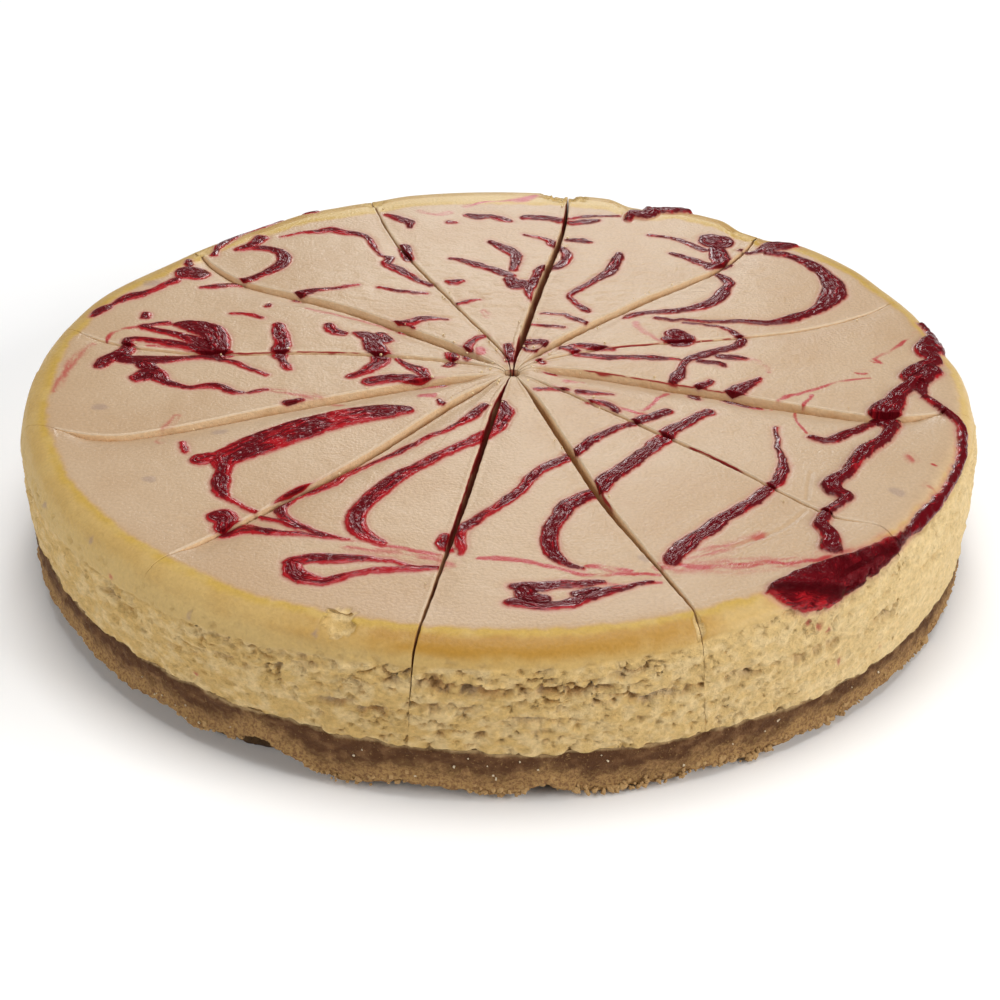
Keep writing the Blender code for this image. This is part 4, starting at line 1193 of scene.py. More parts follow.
@dataclass(frozen=True)
class CrustFinish:
    """Pressed biscuit crumb: grey-brown, with a sandy golden ragged edge and painted shade in the undercut
    below it.
    """

    dark: Colour = (0.098, 0.040, 0.015)
    brown: Colour = (0.225, 0.112, 0.048)
    sand: Colour = (0.440, 0.260, 0.098)
    shade: Colour = (0.050, 0.026, 0.012)
    pale: Colour = (0.560, 0.390, 0.190)

    def make(self) -> bpy.types.Material:
        """Return the material."""
        g = Graph("biscuit_crust")
        above, under = g.read("above"), g.read("under")
        speck = g.noise(0.8, 3.0, rough=0.7)
        broad = g.noise(3.6, 3.0, (1.0, 1.0, 0.7))
        colour = g.mix(g.step(broad, 0.4, 0.8), self.dark, self.brown)
        colour = g.mix(g.step(speck, 0.58, 0.72, 0.55), colour, self.sand)
        low = g.total((above, -1.0), (broad, 5.5), (1.4, 1.0))
        golden = g.mix(g.step(speck, 0.35, 0.6), self.brown, self.sand)
        colour = g.mix(g.step(low, -4.5, 1.8, 0.95), colour, golden)
        colour = g.mix(g.step(g.total((under, 1.0), (broad, -1.6)), 0.2, -0.7, 0.7), colour, self.pale)
        # Painted shade in the undercut below the ragged foot.
        colour = g.mix(g.step(above, 0.1, -1.0, 0.85), colour, self.shade)
        g.set(Base_Color=colour, Roughness=0.85, Specular_IOR_Level=0.2)
        g.relief(g.total((speck, 0.9), (broad, 0.5)))
        return g.material


@dataclass(frozen=True)
class CrumbFinish:
    """Loose crumbs and sugar: two colours in clouds."""

    name: str
    one: Colour
    two: Colour
    roughness: float

    def make(self) -> bpy.types.Material:
        """Return the material."""
        g = Graph(self.name)
        g.set(Base_Color=g.mix(g.noise(2.5, 3.0), self.one, self.two), Roughness=self.roughness)
        g.relief(g.sum("MULTIPLY", g.noise(0.35, 2.0), 0.12))
        return g.material


# Slices.


@dataclass(frozen=True)
class Scratches:
    """Shallow knife marks in the top: each a path of x, y, half width."""

    marks: tuple[Places, ...] = (
        ((56, -85, .1), (64, -80, .15), (70, -75, .15), (75, -68, .1)),
        ((76, -63, .1), (77, -57, .15), (78.5, -50, .1)))
    depth: float = 0.34
    lip: float = 0.08
    length: float = 40.0
    stations: int = 30

    def relief(self, x: Array, y: Array) -> Array:
        """Height of the marks: a groove with raised lips beside it.

        With g the distance to the mark's edge, the groove is -d exp(-g^2 /
        0.09) and the lips are l exp(-(g - 0.7)^2 / 0.08).

        Args:
            x: Places, in mm.
            y: Places, in mm.

        Returns:
            Heights in mm.
        """
        height = np.zeros(np.shape(x))
        for mark in self.marks:
            rows = np.array(mark, dtype=float)
            near = ((x > rows[:, 0].min() - 3) & (x < rows[:, 0].max() + 3)
                    & (y > rows[:, 1].min() - 3) & (y < rows[:, 1].max() + 3))
            if not near.any():
                continue
            path = smooth_path(rows, np.linspace(0.0, self.length, self.stations))
            gap, _, _ = JamMap.nearest(x[near], y[near], path)
            groove = -self.depth * np.exp(-np.maximum(gap, 0.0) ** 2 / 0.09)
            height[near] += groove + self.lip * np.exp(-(gap - 0.7) ** 2 / 0.08)
        return height


FILLING_FIELDS = ("jam", "run", "side", "stain", "crumb", "blush")
CRUST_FIELDS = ("above", "under")


@dataclass
class CakeSlice:
    """One slice: its filling and the crust under it."""

    index: int
    form: CakeForm
    plan: KnifePlan
    jam: JamMap
    scratches: Scratches
    look: FillingFinish
    curves: tuple[list[Array], list[Array]]
    # Distance between columns at the rim and between rows of the wall, in mm.
    pitch: float = 0.56
    wall_pitch: float = 0.42
    top_rows: int = 204
    crust_rows: int = 36
    layer_gap: float = 0.05
    # Distances of the fine columns from a cut, and how far their tops are raised or lowered.
    edge_steps: tuple[float, ...] = (0.0, 0.1, 0.3, 0.65, 1.2)
    edge_round: tuple[float, ...] = (-0.14, 0.04, 0.1, 0.08, 0.02)
    # Rows of the filling's cut faces, by their share of the depth.
    face_shares: tuple[float, ...] = (0.0, 0.008, 0.028, 0.06, 0.12, 0.22, 0.36, 0.55, 0.78, 1.0)
    # How far inside the wall the grid of a cut face ends.
    face_inset: float = 2.5
    # The crust's cut faces: rows by their share of the depth, and points outwards.
    crust_shares: tuple[float, ...] = (0.0, 0.2, 0.45, 0.7, 1.0)
    crust_points: int = 44
    # Faces this far inside the jam have the jam's own finish, in mm.
    jam_inside: float = -0.55
    # Cuts whose faces are darker, because jam was drawn down them.
    deep_cuts: tuple[int, ...] = (0, 6)
    # How golden the baked skin of the rim is, by bearing.
    gold: Places = (
        (-180, .35), (-150, .3), (-120, .4), (-100, .9), (-97, 1.4), (-70, 1.4), (-66, .6), (-50, .25),
        (-20, .2), (10, .4), (60, .7), (110, .7), (150, .45), (180, .35))
    column_steps: Array = field(init=False)
    column_shares: Array = field(init=False)
    column_round: Array = field(init=False)

    def __post_init__(self) -> None:
        """Fix the columns' numbers from the slice's width at the rim."""
        rho, level = np.array([self.form.edge_radius]), np.array([self.form.height])
        opening = self.edge_bearing(Side.START, rho, level) - self.edge_bearing(Side.END, rho, level)
        width = float((opening * rho)[0])
        inner = max(8, round(width / self.pitch))
        share = np.arange(1, inner + 1) / (inner + 1)
        steps = np.array(self.edge_steps)
        last = steps[-1]
        self.column_steps = np.concatenate((steps, last - 2.0 * last * share, -steps[::-1]))
        self.column_shares = np.concatenate((steps * 0.0, share, steps * 0.0 + 1.0))
        rounding = np.zeros(len(self.column_steps))
        rounding[:len(steps)] = self.edge_round
        rounding[-len(steps):] = self.edge_round[::-1]
        self.column_round = rounding

    def cut_of(self, side: Side) -> int:
        """Return the number of the cut on a side of the slice."""
        return self.index if side is Side.START else (self.index + 1) % SLICES

    def cut_bearing(self, side: Side, rho: Array, drop: Array) -> Array:
        """Bearing of a cut about the meeting point, with its lean; radians."""
        cut = self.cut_of(side)
        distances, bearings = self.curves
        angle = np.interp(rho, distances[cut], bearings[cut])
        if side is Side.END and cut == 0:
            angle = angle - 2.0 * math.pi
        return angle + math.radians(self.plan.lean[cut]) * drop / 30.0

    def edge_bearing(self, side: Side, rho: Array, z: Array) -> Array:
        """Bearing of the slice's own cut face, half a gap inside the cut; radians."""
        cut = self.cut_of(side)
        gap = self.plan.half_gap(cut, rho, np.clip(z / self.form.height, 0.0, 1.0), 80 + 3 * cut + side.value)
        return self.cut_bearing(side, rho, self.form.height - z) - side.value * gap / rho

    def spread(self, rho: Array, z: Array) -> tuple[Array, Array]:
        """Bearings of all columns, and their distance from the nearer cut in mm.

        A column lies at f p + W q from the start face, where W is the slice's
        width there, f shrinks the fine edge steps where it is narrow, and p
        and q are the column's own numbers.

        Args:
            rho: Distances from the meeting point, one column each.
            z: Heights in mm.

        Returns:
            Bearings in radians and distances in mm.
        """
        start, end = self.edge_bearing(Side.START, rho, z), self.edge_bearing(Side.END, rho, z)
        width = (start - end) * rho
        shrink = np.minimum(1.0, width / 6.0)
        offset = shrink * self.column_steps + width * self.column_shares
        return start - offset / rho, np.minimum(offset, width - offset)

    def reach(self, phi: Array, radius: Array) -> Array:
        """Distance from the meeting point, along phi, to a circle about the axis.

        With M the meeting point and e the direction, it is
        -M.e + sqrt((M.e)^2 - M.M + r^2).
        """
        mx, my = self.plan.meeting
        lean = mx * np.cos(phi) + my * np.sin(phi)
        return -lean + np.sqrt(lean * lean - mx * mx - my * my + radius * radius)

    def at(self, phi: Array, rho: Array) -> tuple[Array, Array]:
        """Return x and y in mm at a bearing and distance from the meeting point."""
        return self.plan.meeting[0] + rho * np.cos(phi), self.plan.meeting[1] + rho * np.sin(phi)

    def ring(self, radius: Array, z: Array) -> tuple[Array, Array, Array, Array]:
        """Place all columns on given radii about the axis.

        Args:
            radius: Radii in mm, one column each.
            z: Heights in mm.

        Returns:
            x, y, distance from the meeting point, and distance from the nearer cut.
        """
        rho = np.broadcast_to(radius, np.broadcast(radius, z).shape).astype(float)
        for _ in range(4):
            phi, edge = self.spread(rho, z)
            rho = self.reach(phi, radius)
        x, y = self.at(phi, rho)
        return x, y, rho, edge

    def sink(self, edge: Array, near_start: Array) -> Array:
        """How far the top is pulled down towards the cuts: s exp(-(e/4.2)^1.3)."""
        start = self.plan.sink_start[self.cut_of(Side.START)]
        end = self.plan.sink_end[self.cut_of(Side.END)]
        return np.where(near_start, start, end) * np.exp(-(edge / 4.2) ** 1.3)

    def jam_height(self, fields: dict[str, Array], x: Array, y: Array) -> Array:
        """Thickness of the jam: crest times a rounded step, with seeds and wrinkles.

        Args:
            fields: Fields with jam, crest, run and side.
            x: Places, in mm.
            y: Places, in mm.

        Returns:
            Height over the plain surface, in mm.
        """
        inside = np.clip(-fields["jam"] / 1.3, 0.0, 1.0)
        dome = np.sqrt(1.0 - (1.0 - inside) ** 2)
        wrinkle = layers(fields["run"] / 2.6, fields["side"] / 0.8, 0.0, 91, 2)
        seeds = layers(x / 1.5, y / 1.5, 3.0, 93, 2)
        rim = np.exp(-(fields["jam"] - 0.5) ** 2 / 0.2)
        rough = 0.3 * np.maximum(fields["crest"], 0.4) * (0.6 * wrinkle + 0.7 * seeds) * inside
        return fields["crest"] * dome + rough - 0.1 * rim * (fields["jam"] > -0.5)

    def rim(self) -> tuple[Array, Array]:
        """Return each column's bearing at the rim, in degrees, and its distance from the meeting point."""
        level = np.full(len(self.column_steps), self.form.height)
        x, y, _, _ = self.ring(np.full(level.shape, self.form.edge_radius), level)
        x, y, rho, _ = self.ring(self.form.edge_radius + self.form.swell(bearing_of(x, y)), level)
        return bearing_of(x, y), rho

    def top_sheet(self, rho_edge: Array) -> tuple[Array, Array, dict[str, Array]]:
        """Shape and colour the top: waves, jam, knife marks, chips and rounded, pulled down edges.

        Args:
            rho_edge: Distance of the rim from the meeting point, one column each.

        Returns:
            Points in mm, their distances from the meeting point, and their fields.
        """
        top, count = self.form.height, len(self.column_steps)
        tip = self.plan.tips[self.index]
        rho = tip + (rho_edge[None, :] - tip) * np.linspace(0.0, 1.0, self.top_rows)[:, None]
        phi, edge = self.spread(rho, np.full(rho.shape, top))
        x, y = self.at(phi, rho)
        fields = self.jam.read(x, y)
        radius, bearing = np.hypot(x, y), bearing_of(x, y)
        inward = 1.0 - ease(108.0, 118.0, radius)
        way = np.maximum(rho - rho_edge, -FAR)
        chip = self.form.chip(bearing, way)
        # The baked skin wrinkles most behind the middle.
        wrinkled = np.exp(-((x - 6.0) / 62.0) ** 2 - ((y - 52.0) / 34.0) ** 2)
        start_half = np.arange(count)[None, :] < count / 2
        z = (top + self.jam_height(fields, x, y) + self.scratches.relief(x, y)
             + inward * (0.22 * grain(x / 26.0, y / 26.0, 0.0, 101)
                         + 0.07 * layers(x / 4.0, y / 4.0, 0.0, 103, 2)
                         + 0.16 * wrinkled * layers(x / 3.6, y / 1.5, 0.0, 104, 2))
             - 0.7 * np.exp(-(rho - tip) / 1.1) - 0.75 * chip
             + self.column_round * (1.0 + 0.4 * grain(rho / 1.3, start_half * 5.0, 0.0, 105))
             - self.sink(edge, np.broadcast_to(start_half, edge.shape)) * ease(4.0, 14.0, rho)
             * (1.0 - 0.8 * ease(110.0, 118.0, radius)))
        chipped = ease(0.1, 0.8, chip)
        fields["crumb"] = 0.5 * chipped
        tint = self.look.tint(x, y, z, bearing, way, chipped, 0.0 * way, 0.0 * way)
        # Painted highlight: a thin bright line along each cut's top edge.
        tint = blend(tint, self.look.painted_edge_highlight, 0.6 * np.exp(-(edge / 0.3) ** 2))
        fields["tint"] = self.look.spotted(tint, fields["dull"])
        return np.stack((x, y, z), axis=-1), rho, fields

    def wall_sheet(self, bearing: Array) -> tuple[Array, Array, dict[str, Array]]:
        """Shape and colour the side, from the rim down to the crust line.

        Rows below the rounded shoulder are stretched to end at the crust
        line. Tears and chips go inwards; jam is raised along the surface's own
        outward direction.

        Args:
            bearing: Bearing of each column at the rim, in degrees.

        Returns:
            Points in mm, their distances from the meeting point, and their fields.
        """
        form, top, count = self.form, self.form.height, len(self.column_steps)
        radius_row, drop_row, tilt_r, tilt_z = self.wall_profile()
        way = self.wall_pitch * np.arange(1, len(drop_row) + 1)[:, None] + 0.0 * bearing
        foot_x, foot_y, _, _ = self.ring(np.full(count, form.profile[-1][0]), np.full(count, top * 0.3))
        deepest = top - form.crust_line(foot_x, foot_y) - self.layer_gap
        stretch = (deepest - form.straight_from) / (form.profile[-1][1] - form.straight_from)
        plain = drop_row[:, None]
        drop = np.where(plain <= form.straight_from, plain,
                        form.straight_from + (plain - form.straight_from) * stretch[None, :])
        turned = np.broadcast_to(bearing[None, :], drop.shape)
        torn, crumb = form.torn(turned, drop)
        broken = form.chip(turned, way)
        upper = 1.0 - 0.75 * ease(6.0, 22.0, drop)
        columns_edge = np.minimum(np.arange(count), np.arange(count)[::-1]) * self.pitch
        torn = torn * (0.9 + 0.1 * ease(0.0, 1.5, columns_edge))[None, :]
        wander = 0.35 * grain(turned / 5.0, drop / 9.0, 0.0, 109)
        radius = (radius_row[:, None] + form.swell(turned) * upper - 0.8 * broken - torn + wander
                  * ease(0.5, 4.0, drop))
        z = top - drop - 0.6 * broken * (1.0 - ease(3.0, 8.0, drop))
        x, y, _, _ = self.ring(radius, z)
        fields = self.jam.read(x, y)
        self.jam.over_rim(fields, turned, drop, np.hypot(x, y))
        height = self.jam_height(fields, x + drop, y)
        radius = radius + height * tilt_r[:, None]
        z = z + height * tilt_z[:, None]
        z = z + self.column_round * 0.6 * (1.0 - ease(1.0, 6.0, drop))
        x, y, rho, _ = self.ring(radius, z)
        bare = np.maximum(crumb, ease(0.1, 0.8, broken))
        gold = by_bearing(self.gold, turned)
        # Painted shade in the deeper tears of the wall, by their depth.
        pit_shade = np.clip((torn - 0.55) / 2.0, 0.0, 1.0)
        grainy = (0.2 + 0.25 * (turned < -105.0)) * ease(3.0, 7.0, way)
        grainy = grainy * (1.0 - 0.7 * np.clip(gold, 0.0, 1.0))
        fields["crumb"] = np.maximum(bare, grainy)
        tint = self.look.tint(x, y, z, turned, way, bare, pit_shade, gold)
        fields["tint"] = self.look.spotted(tint, fields["dull"])
        return np.stack((x, y, z), axis=-1), rho, fields

    def filling(self, material: bpy.types.Material, jam_material: bpy.types.Material) -> bpy.types.Object:
        """Make the filling: one sheet over the top and down the wall, then its two cut faces.

        Args:
            material: Finish of the filling.
            jam_material: Finish of the faces that lie well inside the jam.

        Returns:
            The closed piece.
        """
        shell = Shell("slice_%02d_filling" % (self.index + 1), FILLING_FIELDS)
        bearing, rho_edge = self.rim()
        top_points, rho_top, top_fields = self.top_sheet(rho_edge)
        wall_points, rho_wall, wall_fields = self.wall_sheet(bearing)
        top_ids = shell.add(top_points, **top_fields)
        wall_ids = shell.add(wall_points, **wall_fields)
        ids = np.concatenate((top_ids, wall_ids))
        shell.quads(ids, flip=True)
        # The wall's edge starts with the last row of the top.
        last = self.top_rows - 1
        rho = np.concatenate((rho_top, rho_wall))
        z = np.concatenate((top_points, wall_points))[..., 2]
        loops = []
        for side in Side:
            column = side.column
            loops.append(self.side_face(
                shell, side, rho_top[:, column], z[:last + 1, column], ids[last:, column],
                rho[last:, column], z[last:, column], np.array(self.face_shares), self.layer_gap,
                top_ids[:, column]))
        start, end = loops
        shell.polygon(list(top_ids[0]) + [end[0, 1], start[0, 1]])
        shell.quads(np.stack((start[0, 1:], end[0, 1:]), axis=0), flip=True)
        shell.polygon(list(start[:, -1]) + list(wall_ids[-1]) + list(end[::-1, -1]))
        made = shell.build(material)
        finish_inside(made, jam_material, np.concatenate(shell.fields["jam"]) < self.jam_inside)
        return made

    def wall_profile(self) -> tuple[Array, Array, Array, Array]:
        """Return radius, drop and outward direction (radial, up) along the filling's side."""
        rows = np.array(self.form.profile)
        chain = np.linalg.norm(np.diff(rows, axis=0), axis=1).sum()
        path = smooth_path(rows, np.linspace(0.0, chain, round(chain / self.wall_pitch) + 1))
        step = np.gradient(path, axis=0)
        length = np.hypot(step[:, 0], step[:, 1])
        return path[1:, 0], path[1:, 1], (step[:, 1] / length)[1:], (step[:, 0] / length)[1:]

    def side_face(self, shell: Shell, side: Side, rho_row: Array, z_row: Array, wall_ids: Array,
                  wall_rho: Array, wall_z: Array, shares: Array, bottom_gap: float,
                  top_ids: Optional[Array]) -> Array:
        """Make one cut face, from the tip to the wall.

        Its grid follows the top edge outwards and the shares downwards. The
        last column stands a little inside the wall, and polygons join it to
        the wall's own rows.

        Args:
            shell: Piece to add to.
            side: Which face.
            rho_row: Distances of the top edge's points from the meeting point.
            z_row: Heights of the top edge's points.
            wall_ids: Point numbers down the wall's edge, from the top.
            wall_rho: Their distances from the meeting point.
            wall_z: Their heights.
            shares: Shares of the depth for the rows, from 0 to 1.
            bottom_gap: Height of the lowest row over the crust line (filling)
                or the height of the base (crust, as 0).
            top_ids: Numbers of the top edge's points, or None to make them.

        Returns:
            Numbers of the face's points, outwards and downwards.
        """
        is_filling = top_ids is not None
        picks = [0]
        aim = wall_z[0] + (wall_z[-1] - wall_z[0]) * shares
        for share_z in aim[1:-1]:
            picks.append(max(picks[-1] + 1, int(np.abs(wall_z - share_z).argmin())))
        picks.append(len(wall_z) - 1)
        last_rho = np.maximum(rho_row[-1] + 0.2, wall_rho[picks] - self.face_inset)
        rho = np.concatenate((np.repeat(rho_row[:, None], len(shares), axis=1), last_rho[None, :]))
        z_first = np.concatenate((z_row, [z_row[-1] if not is_filling else wall_z[0]]))[:, None]
        for _ in range(2):
            phi = self.edge_bearing(side, rho, z_first + rho * 0.0)
            x, y = self.at(phi, rho)
            z_last = self.form.crust_line(x, y) + bottom_gap if is_filling else x * 0.0
            z = z_first + (z_last - z_first) * shares[None, :]
            phi = self.edge_bearing(side, rho, z)
        x, y = self.at(phi, rho)
        z[-1, 1:-1] = wall_z[picks[1:-1]]
        points = np.stack((x, y, z), axis=-1)
        depth = self.form.height - z
        if is_filling:
            fields = self.jam.read(x, y)
            fields["jam"] = np.minimum(fields["jam"] + 1.3 * depth, FAR)
            smear = self.jam.smeared(self.cut_of(side), rho, depth)
            fields["stain"] = np.maximum(fields["stain"] * np.exp(-depth / 2.0), smear)
            dark = np.maximum(float(self.cut_of(side) in self.deep_cuts), np.exp(-(rho / 8.0) ** 2))
            fields["tint"] = self.look.cut_tint(x, y, z, depth, dark)
            fields = {key: value[:, 1:] for key, value in fields.items()}
            made = shell.add(points[:, 1:], **fields, crumb=0.25)
            first = np.concatenate((top_ids, wall_ids[:1]))
            ids = np.concatenate((first[:, None], made), axis=1)
        else:
            ids = shell.add(points, above=z, under=z_first - z)
        flip = side is Side.END
        shell.quads(ids[:-1], flip)
        for j in range(len(shares) - 1):
            shell.polygon((ids[-2, j], ids[-1, j], ids[-1, j + 1], ids[-2, j + 1]), flip)
            strip = [ids[-1, j]] + list(wall_ids[picks[j]:picks[j + 1] + 1]) + [ids[-1, j + 1]]
            shell.polygon(strip, flip)
        return ids

    def crust(self, material: bpy.types.Material) -> bpy.types.Object:
        """Make the crust: a rough side with a ragged undercut foot, closed by flat faces.

        Args:
            material: Finish of the crust.

        Returns:
            The closed piece.
        """
        form = self.form
        shell = Shell("slice_%02d_crust" % (self.index + 1), CRUST_FIELDS)
        count = len(self.column_steps)
        low = np.full(count, form.line_middle)
        x, y, _, _ = self.ring(np.full(count, form.crust_profile[0][0]), low)
        bearing = bearing_of(x, y)
        line = form.crust_line(x, y) - self.layer_gap
        share = np.linspace(1.0, 0.0, self.crust_rows)[:, None]
        rows = np.array(form.crust_profile)[::-1]
        z = share * line[None, :]
        turned = np.broadcast_to(bearing[None, :], z.shape)
        edge = np.broadcast_to(form.foot_edge(bearing)[None, :], z.shape)
        east, north = around_at(turned, form.crust_radius)
        rough = layers(east / 3.2, north / 3.2, z / 2.6, 121, 3)
        fine = layers(east / 1.1, north / 1.1, z / 1.1, 125, 2)
        above = z - edge + 0.5 * rough
        undercut = ease(0.5, -0.7, above) * ease(0.6, 2.2, edge) * (1.6 + 0.4 * edge)
        lip = 0.7 * np.exp(-((above - 1.0) / 1.1) ** 2) * ease(1.0, 3.0, edge)
        under = line[None, :] - z
        radius = (np.interp(share, rows[:, 1], rows[:, 0]) + 0.55 * rough + 0.22 * fine + lip - undercut
                  - 0.5 * ease(1.2, 0.0, under))
        x, y, rho, _ = self.ring(radius, z)
        wall_ids = shell.add(np.stack((x, y, z), axis=-1), above=above, under=under)
        shell.quads(wall_ids, flip=True)
        shares = np.array(self.crust_shares)
        loops = []
        for side in Side:
            column = side.column
            far = rho[:, column].min() - 2.0 * self.face_inset
            rho_row = np.linspace(self.plan.tips[self.index], far, self.crust_points)
            phi = self.edge_bearing(side, rho_row, np.full(rho_row.shape, form.line_middle))
            z_row = form.crust_line(*self.at(phi, rho_row)) - self.layer_gap
            loops.append(self.side_face(shell, side, rho_row, z_row, wall_ids[:, column], rho[:, column],
                                        z[:, column], shares, 0.0, None))
        start, end = loops
        shell.quads(np.stack((start[0], end[0]), axis=0), flip=True)
        shell.polygon(list(start[:, -1]) + list(wall_ids[-1]) + list(end[::-1, -1]))
        shell.polygon(list(start[:, 0]) + list(wall_ids[0]) + list(end[::-1, 0]), flip=True)
        return shell.build(material)


# Loose bits.


@dataclass(frozen=True)
class LooseBits:
    """Small crumbs and sugar grains, each kind as one joined piece."""

    form: CakeForm
    plan: KnifePlan
    # Number of crumbs beside each cut.
    beside: tuple[int, ...] = (16, 9, 5, 9, 4, 7, 6, 5, 9, 12, 9, 10)
    # Number of lumps on the foot of the crust.
    lumps: int = 1500
    # Grains that the photograph shows: bearing, height in mm. Others are scattered.
    grains: Places = ((-104.3, 12.5), (-93, 13), (-94.5, 10.5), (-91, 11), (-87.6, 12.2), (-79, 12.6),
                      (-120, 9.0), (-133, 11.2), (-58, 10.5), (-47, 9.4))
    more_grains: int = 40

    @staticmethod
    def pebble() -> tuple[Array, Array]:
        """Return the corners and faces of a regular twenty-sided body of radius 1."""
        long = (1.0 + math.sqrt(5.0)) / 2.0
        base = [(0.0, a, b * long) for a in (-1.0, 1.0) for b in (-1.0, 1.0)]
        corners = np.array(base + [(c[2], c[0], c[1]) for c in base] + [(c[1], c[2], c[0]) for c in base])
        corners /= np.linalg.norm(corners[0])
        apart = np.linalg.norm(corners[:, None] - corners[None], axis=2)
        # Of the sorted distances, twelve are a corner's own, and the next is a side.
        near = apart < np.sort(apart.ravel())[13] * 1.01
        faces = []
        for a, b, c in ((a, b, c) for a in range(12) for b in range(a + 1, 12) for c in range(b + 1, 12)):
            if near[a, b] and near[b, c] and near[a, c]:
                turned = np.dot(np.cross(corners[b] - corners[a], corners[c] - corners[a]), corners[a]) > 0
                faces.append((a, b, c) if turned else (a, c, b))
        return corners, np.array(faces)

    def pile(self, name: str, centres: Array, sizes: Array, seed: int, material: bpy.types.Material,
             blocky: bool = False) -> bpy.types.Object:
        """Join one uneven pebble or small block at each centre into a piece.

        Args:
            name: Name of the piece.
            centres: Rows of x, y, z in mm.
            sizes: Radii in mm.
            seed: Seeds the unevenness.
            material: Finish.
            blocky: True for six-sided grains.

        Returns:
            The new object.
        """
        dice = np.random.default_rng(seed)
        if blocky:
            corners = np.array(list(product((-1.0, 1.0), repeat=3))) * 0.62
            faces = np.array(((0, 1, 3, 2), (4, 6, 7, 5), (0, 4, 5, 1),
                              (2, 3, 7, 6), (0, 2, 6, 4), (1, 5, 7, 3)))
        else:
            corners, faces = self.pebble()
        many = len(centres)
        uneven = dice.uniform(0.72, 1.25, (many, len(corners), 1))
        squash = dice.uniform(0.7, 1.2, (many, 1, 3))
        turns = dice.normal(size=(many, 4))
        turns /= np.linalg.norm(turns, axis=1)[:, None]
        w, i, j, k = turns.T
        spin = np.stack((1 - 2 * (j * j + k * k), 2 * (i * j - k * w), 2 * (i * k + j * w),
                         2 * (i * j + k * w), 1 - 2 * (i * i + k * k), 2 * (j * k - i * w),
                         2 * (i * k - j * w), 2 * (j * k + i * w), 1 - 2 * (i * i + j * j)), axis=1)
        shaped = corners[None] * uneven * squash
        body = np.einsum("nij,nvj->nvi", spin.reshape(-1, 3, 3), shaped) * sizes[:, None, None]
        shell = Shell(name, ())
        numbers = shell.add(body + centres[:, None, :])
        shell.faces = numbers[:, faces].reshape(-1, faces.shape[1]).tolist()
        return shell.build(material, sharp_above=25.0)

    def top_crumbs(self, material: bpy.types.Material) -> bpy.types.Object:
        """Make the crumbs that the knife left beside the cuts and round the centre."""
        dice = np.random.default_rng(5)
        distances, bearings = self.plan.curves()
        centres, sizes = [], []
        for cut, many in enumerate(self.beside):
            rho = 6.0 + 108.0 * dice.uniform(0.0, 1.0, many) ** 1.7
            away = dice.choice((-1.0, 1.0), many) * (1.2 + 2.2 * dice.uniform(0.0, 1.0, many) ** 2)
            phi = np.interp(rho, distances[cut], bearings[cut]) + away / rho
            size = dice.uniform(0.16, 0.42, many)
            centres.append(np.stack((self.plan.meeting[0] + rho * np.cos(phi),
                                     self.plan.meeting[1] + rho * np.sin(phi),
                                     self.form.height - 0.02 + 0.5 * size), axis=1))
            sizes.append(size)
        return self.pile("top_crumbs", np.concatenate(centres), np.concatenate(sizes), 6, material)

    def foot_crumbs(self, material: bpy.types.Material) -> bpy.types.Object:
        """Make the golden lumps that cling to the ragged foot of the crust."""
        dice = np.random.default_rng(8)
        many = self.lumps
        bearing = dice.uniform(-180.0, 180.0, many)
        edge = self.form.foot_edge(bearing)
        size = dice.uniform(0.3, 0.6, many) + 0.6 * dice.uniform(0.0, 1.0, many) ** 4
        z = np.maximum(1.4 * size + 0.1, edge + dice.normal(0.9, 0.8, many))
        radius = 126.3 - 0.75 * size + dice.uniform(-0.3, 0.2, many) - 1.2 * ease(0.4, -0.8, z - edge)
        centres = np.stack((*around_at(bearing, radius), z), axis=1)
        return self.pile("foot_crumbs", centres, size, 9, material)

    def sugar(self, material: bpy.types.Material) -> bpy.types.Object:
        """Make the white grains in the crust, at named places and scattered."""
        dice = np.random.default_rng(10)
        many = self.more_grains
        free = np.stack((dice.uniform(-180, 180, many), dice.uniform(5.0, 12.0, many)), axis=1)
        spots = np.concatenate((np.array(self.grains), free))
        size = dice.uniform(0.2, 0.42, len(spots))
        centres = np.stack((*around_at(spots[:, 0], 126.4 + 0.1 * size), spots[:, 1]), axis=1)
        return self.pile("sugar_grains", centres, size, 11, material, blocky=True)


# Studio.


@dataclass(frozen=True)
class SoftLight:
    """A square soft light that faces the cake: place and side in metres, strength in watts."""

    name: str
    place: Colour
    size: float
    watts: float
    colour: Colour = (1.0, 1.0, 1.0)

    def hang(self) -> None:
        """Add the light to the scene."""
        data = bpy.data.lights.new(self.name, "AREA")
        data.size = self.size
        data.energy = self.watts
        data.color = self.colour
        lamp = bpy.data.objects.new(self.name, data)
        lamp.location = self.place
        aim = Vector((0.0, 0.0, 0.03)) - Vector(self.place)
        lamp.rotation_euler = aim.to_track_quat("-Z", "Y").to_euler()
        bpy.context.scene.collection.objects.link(lamp)


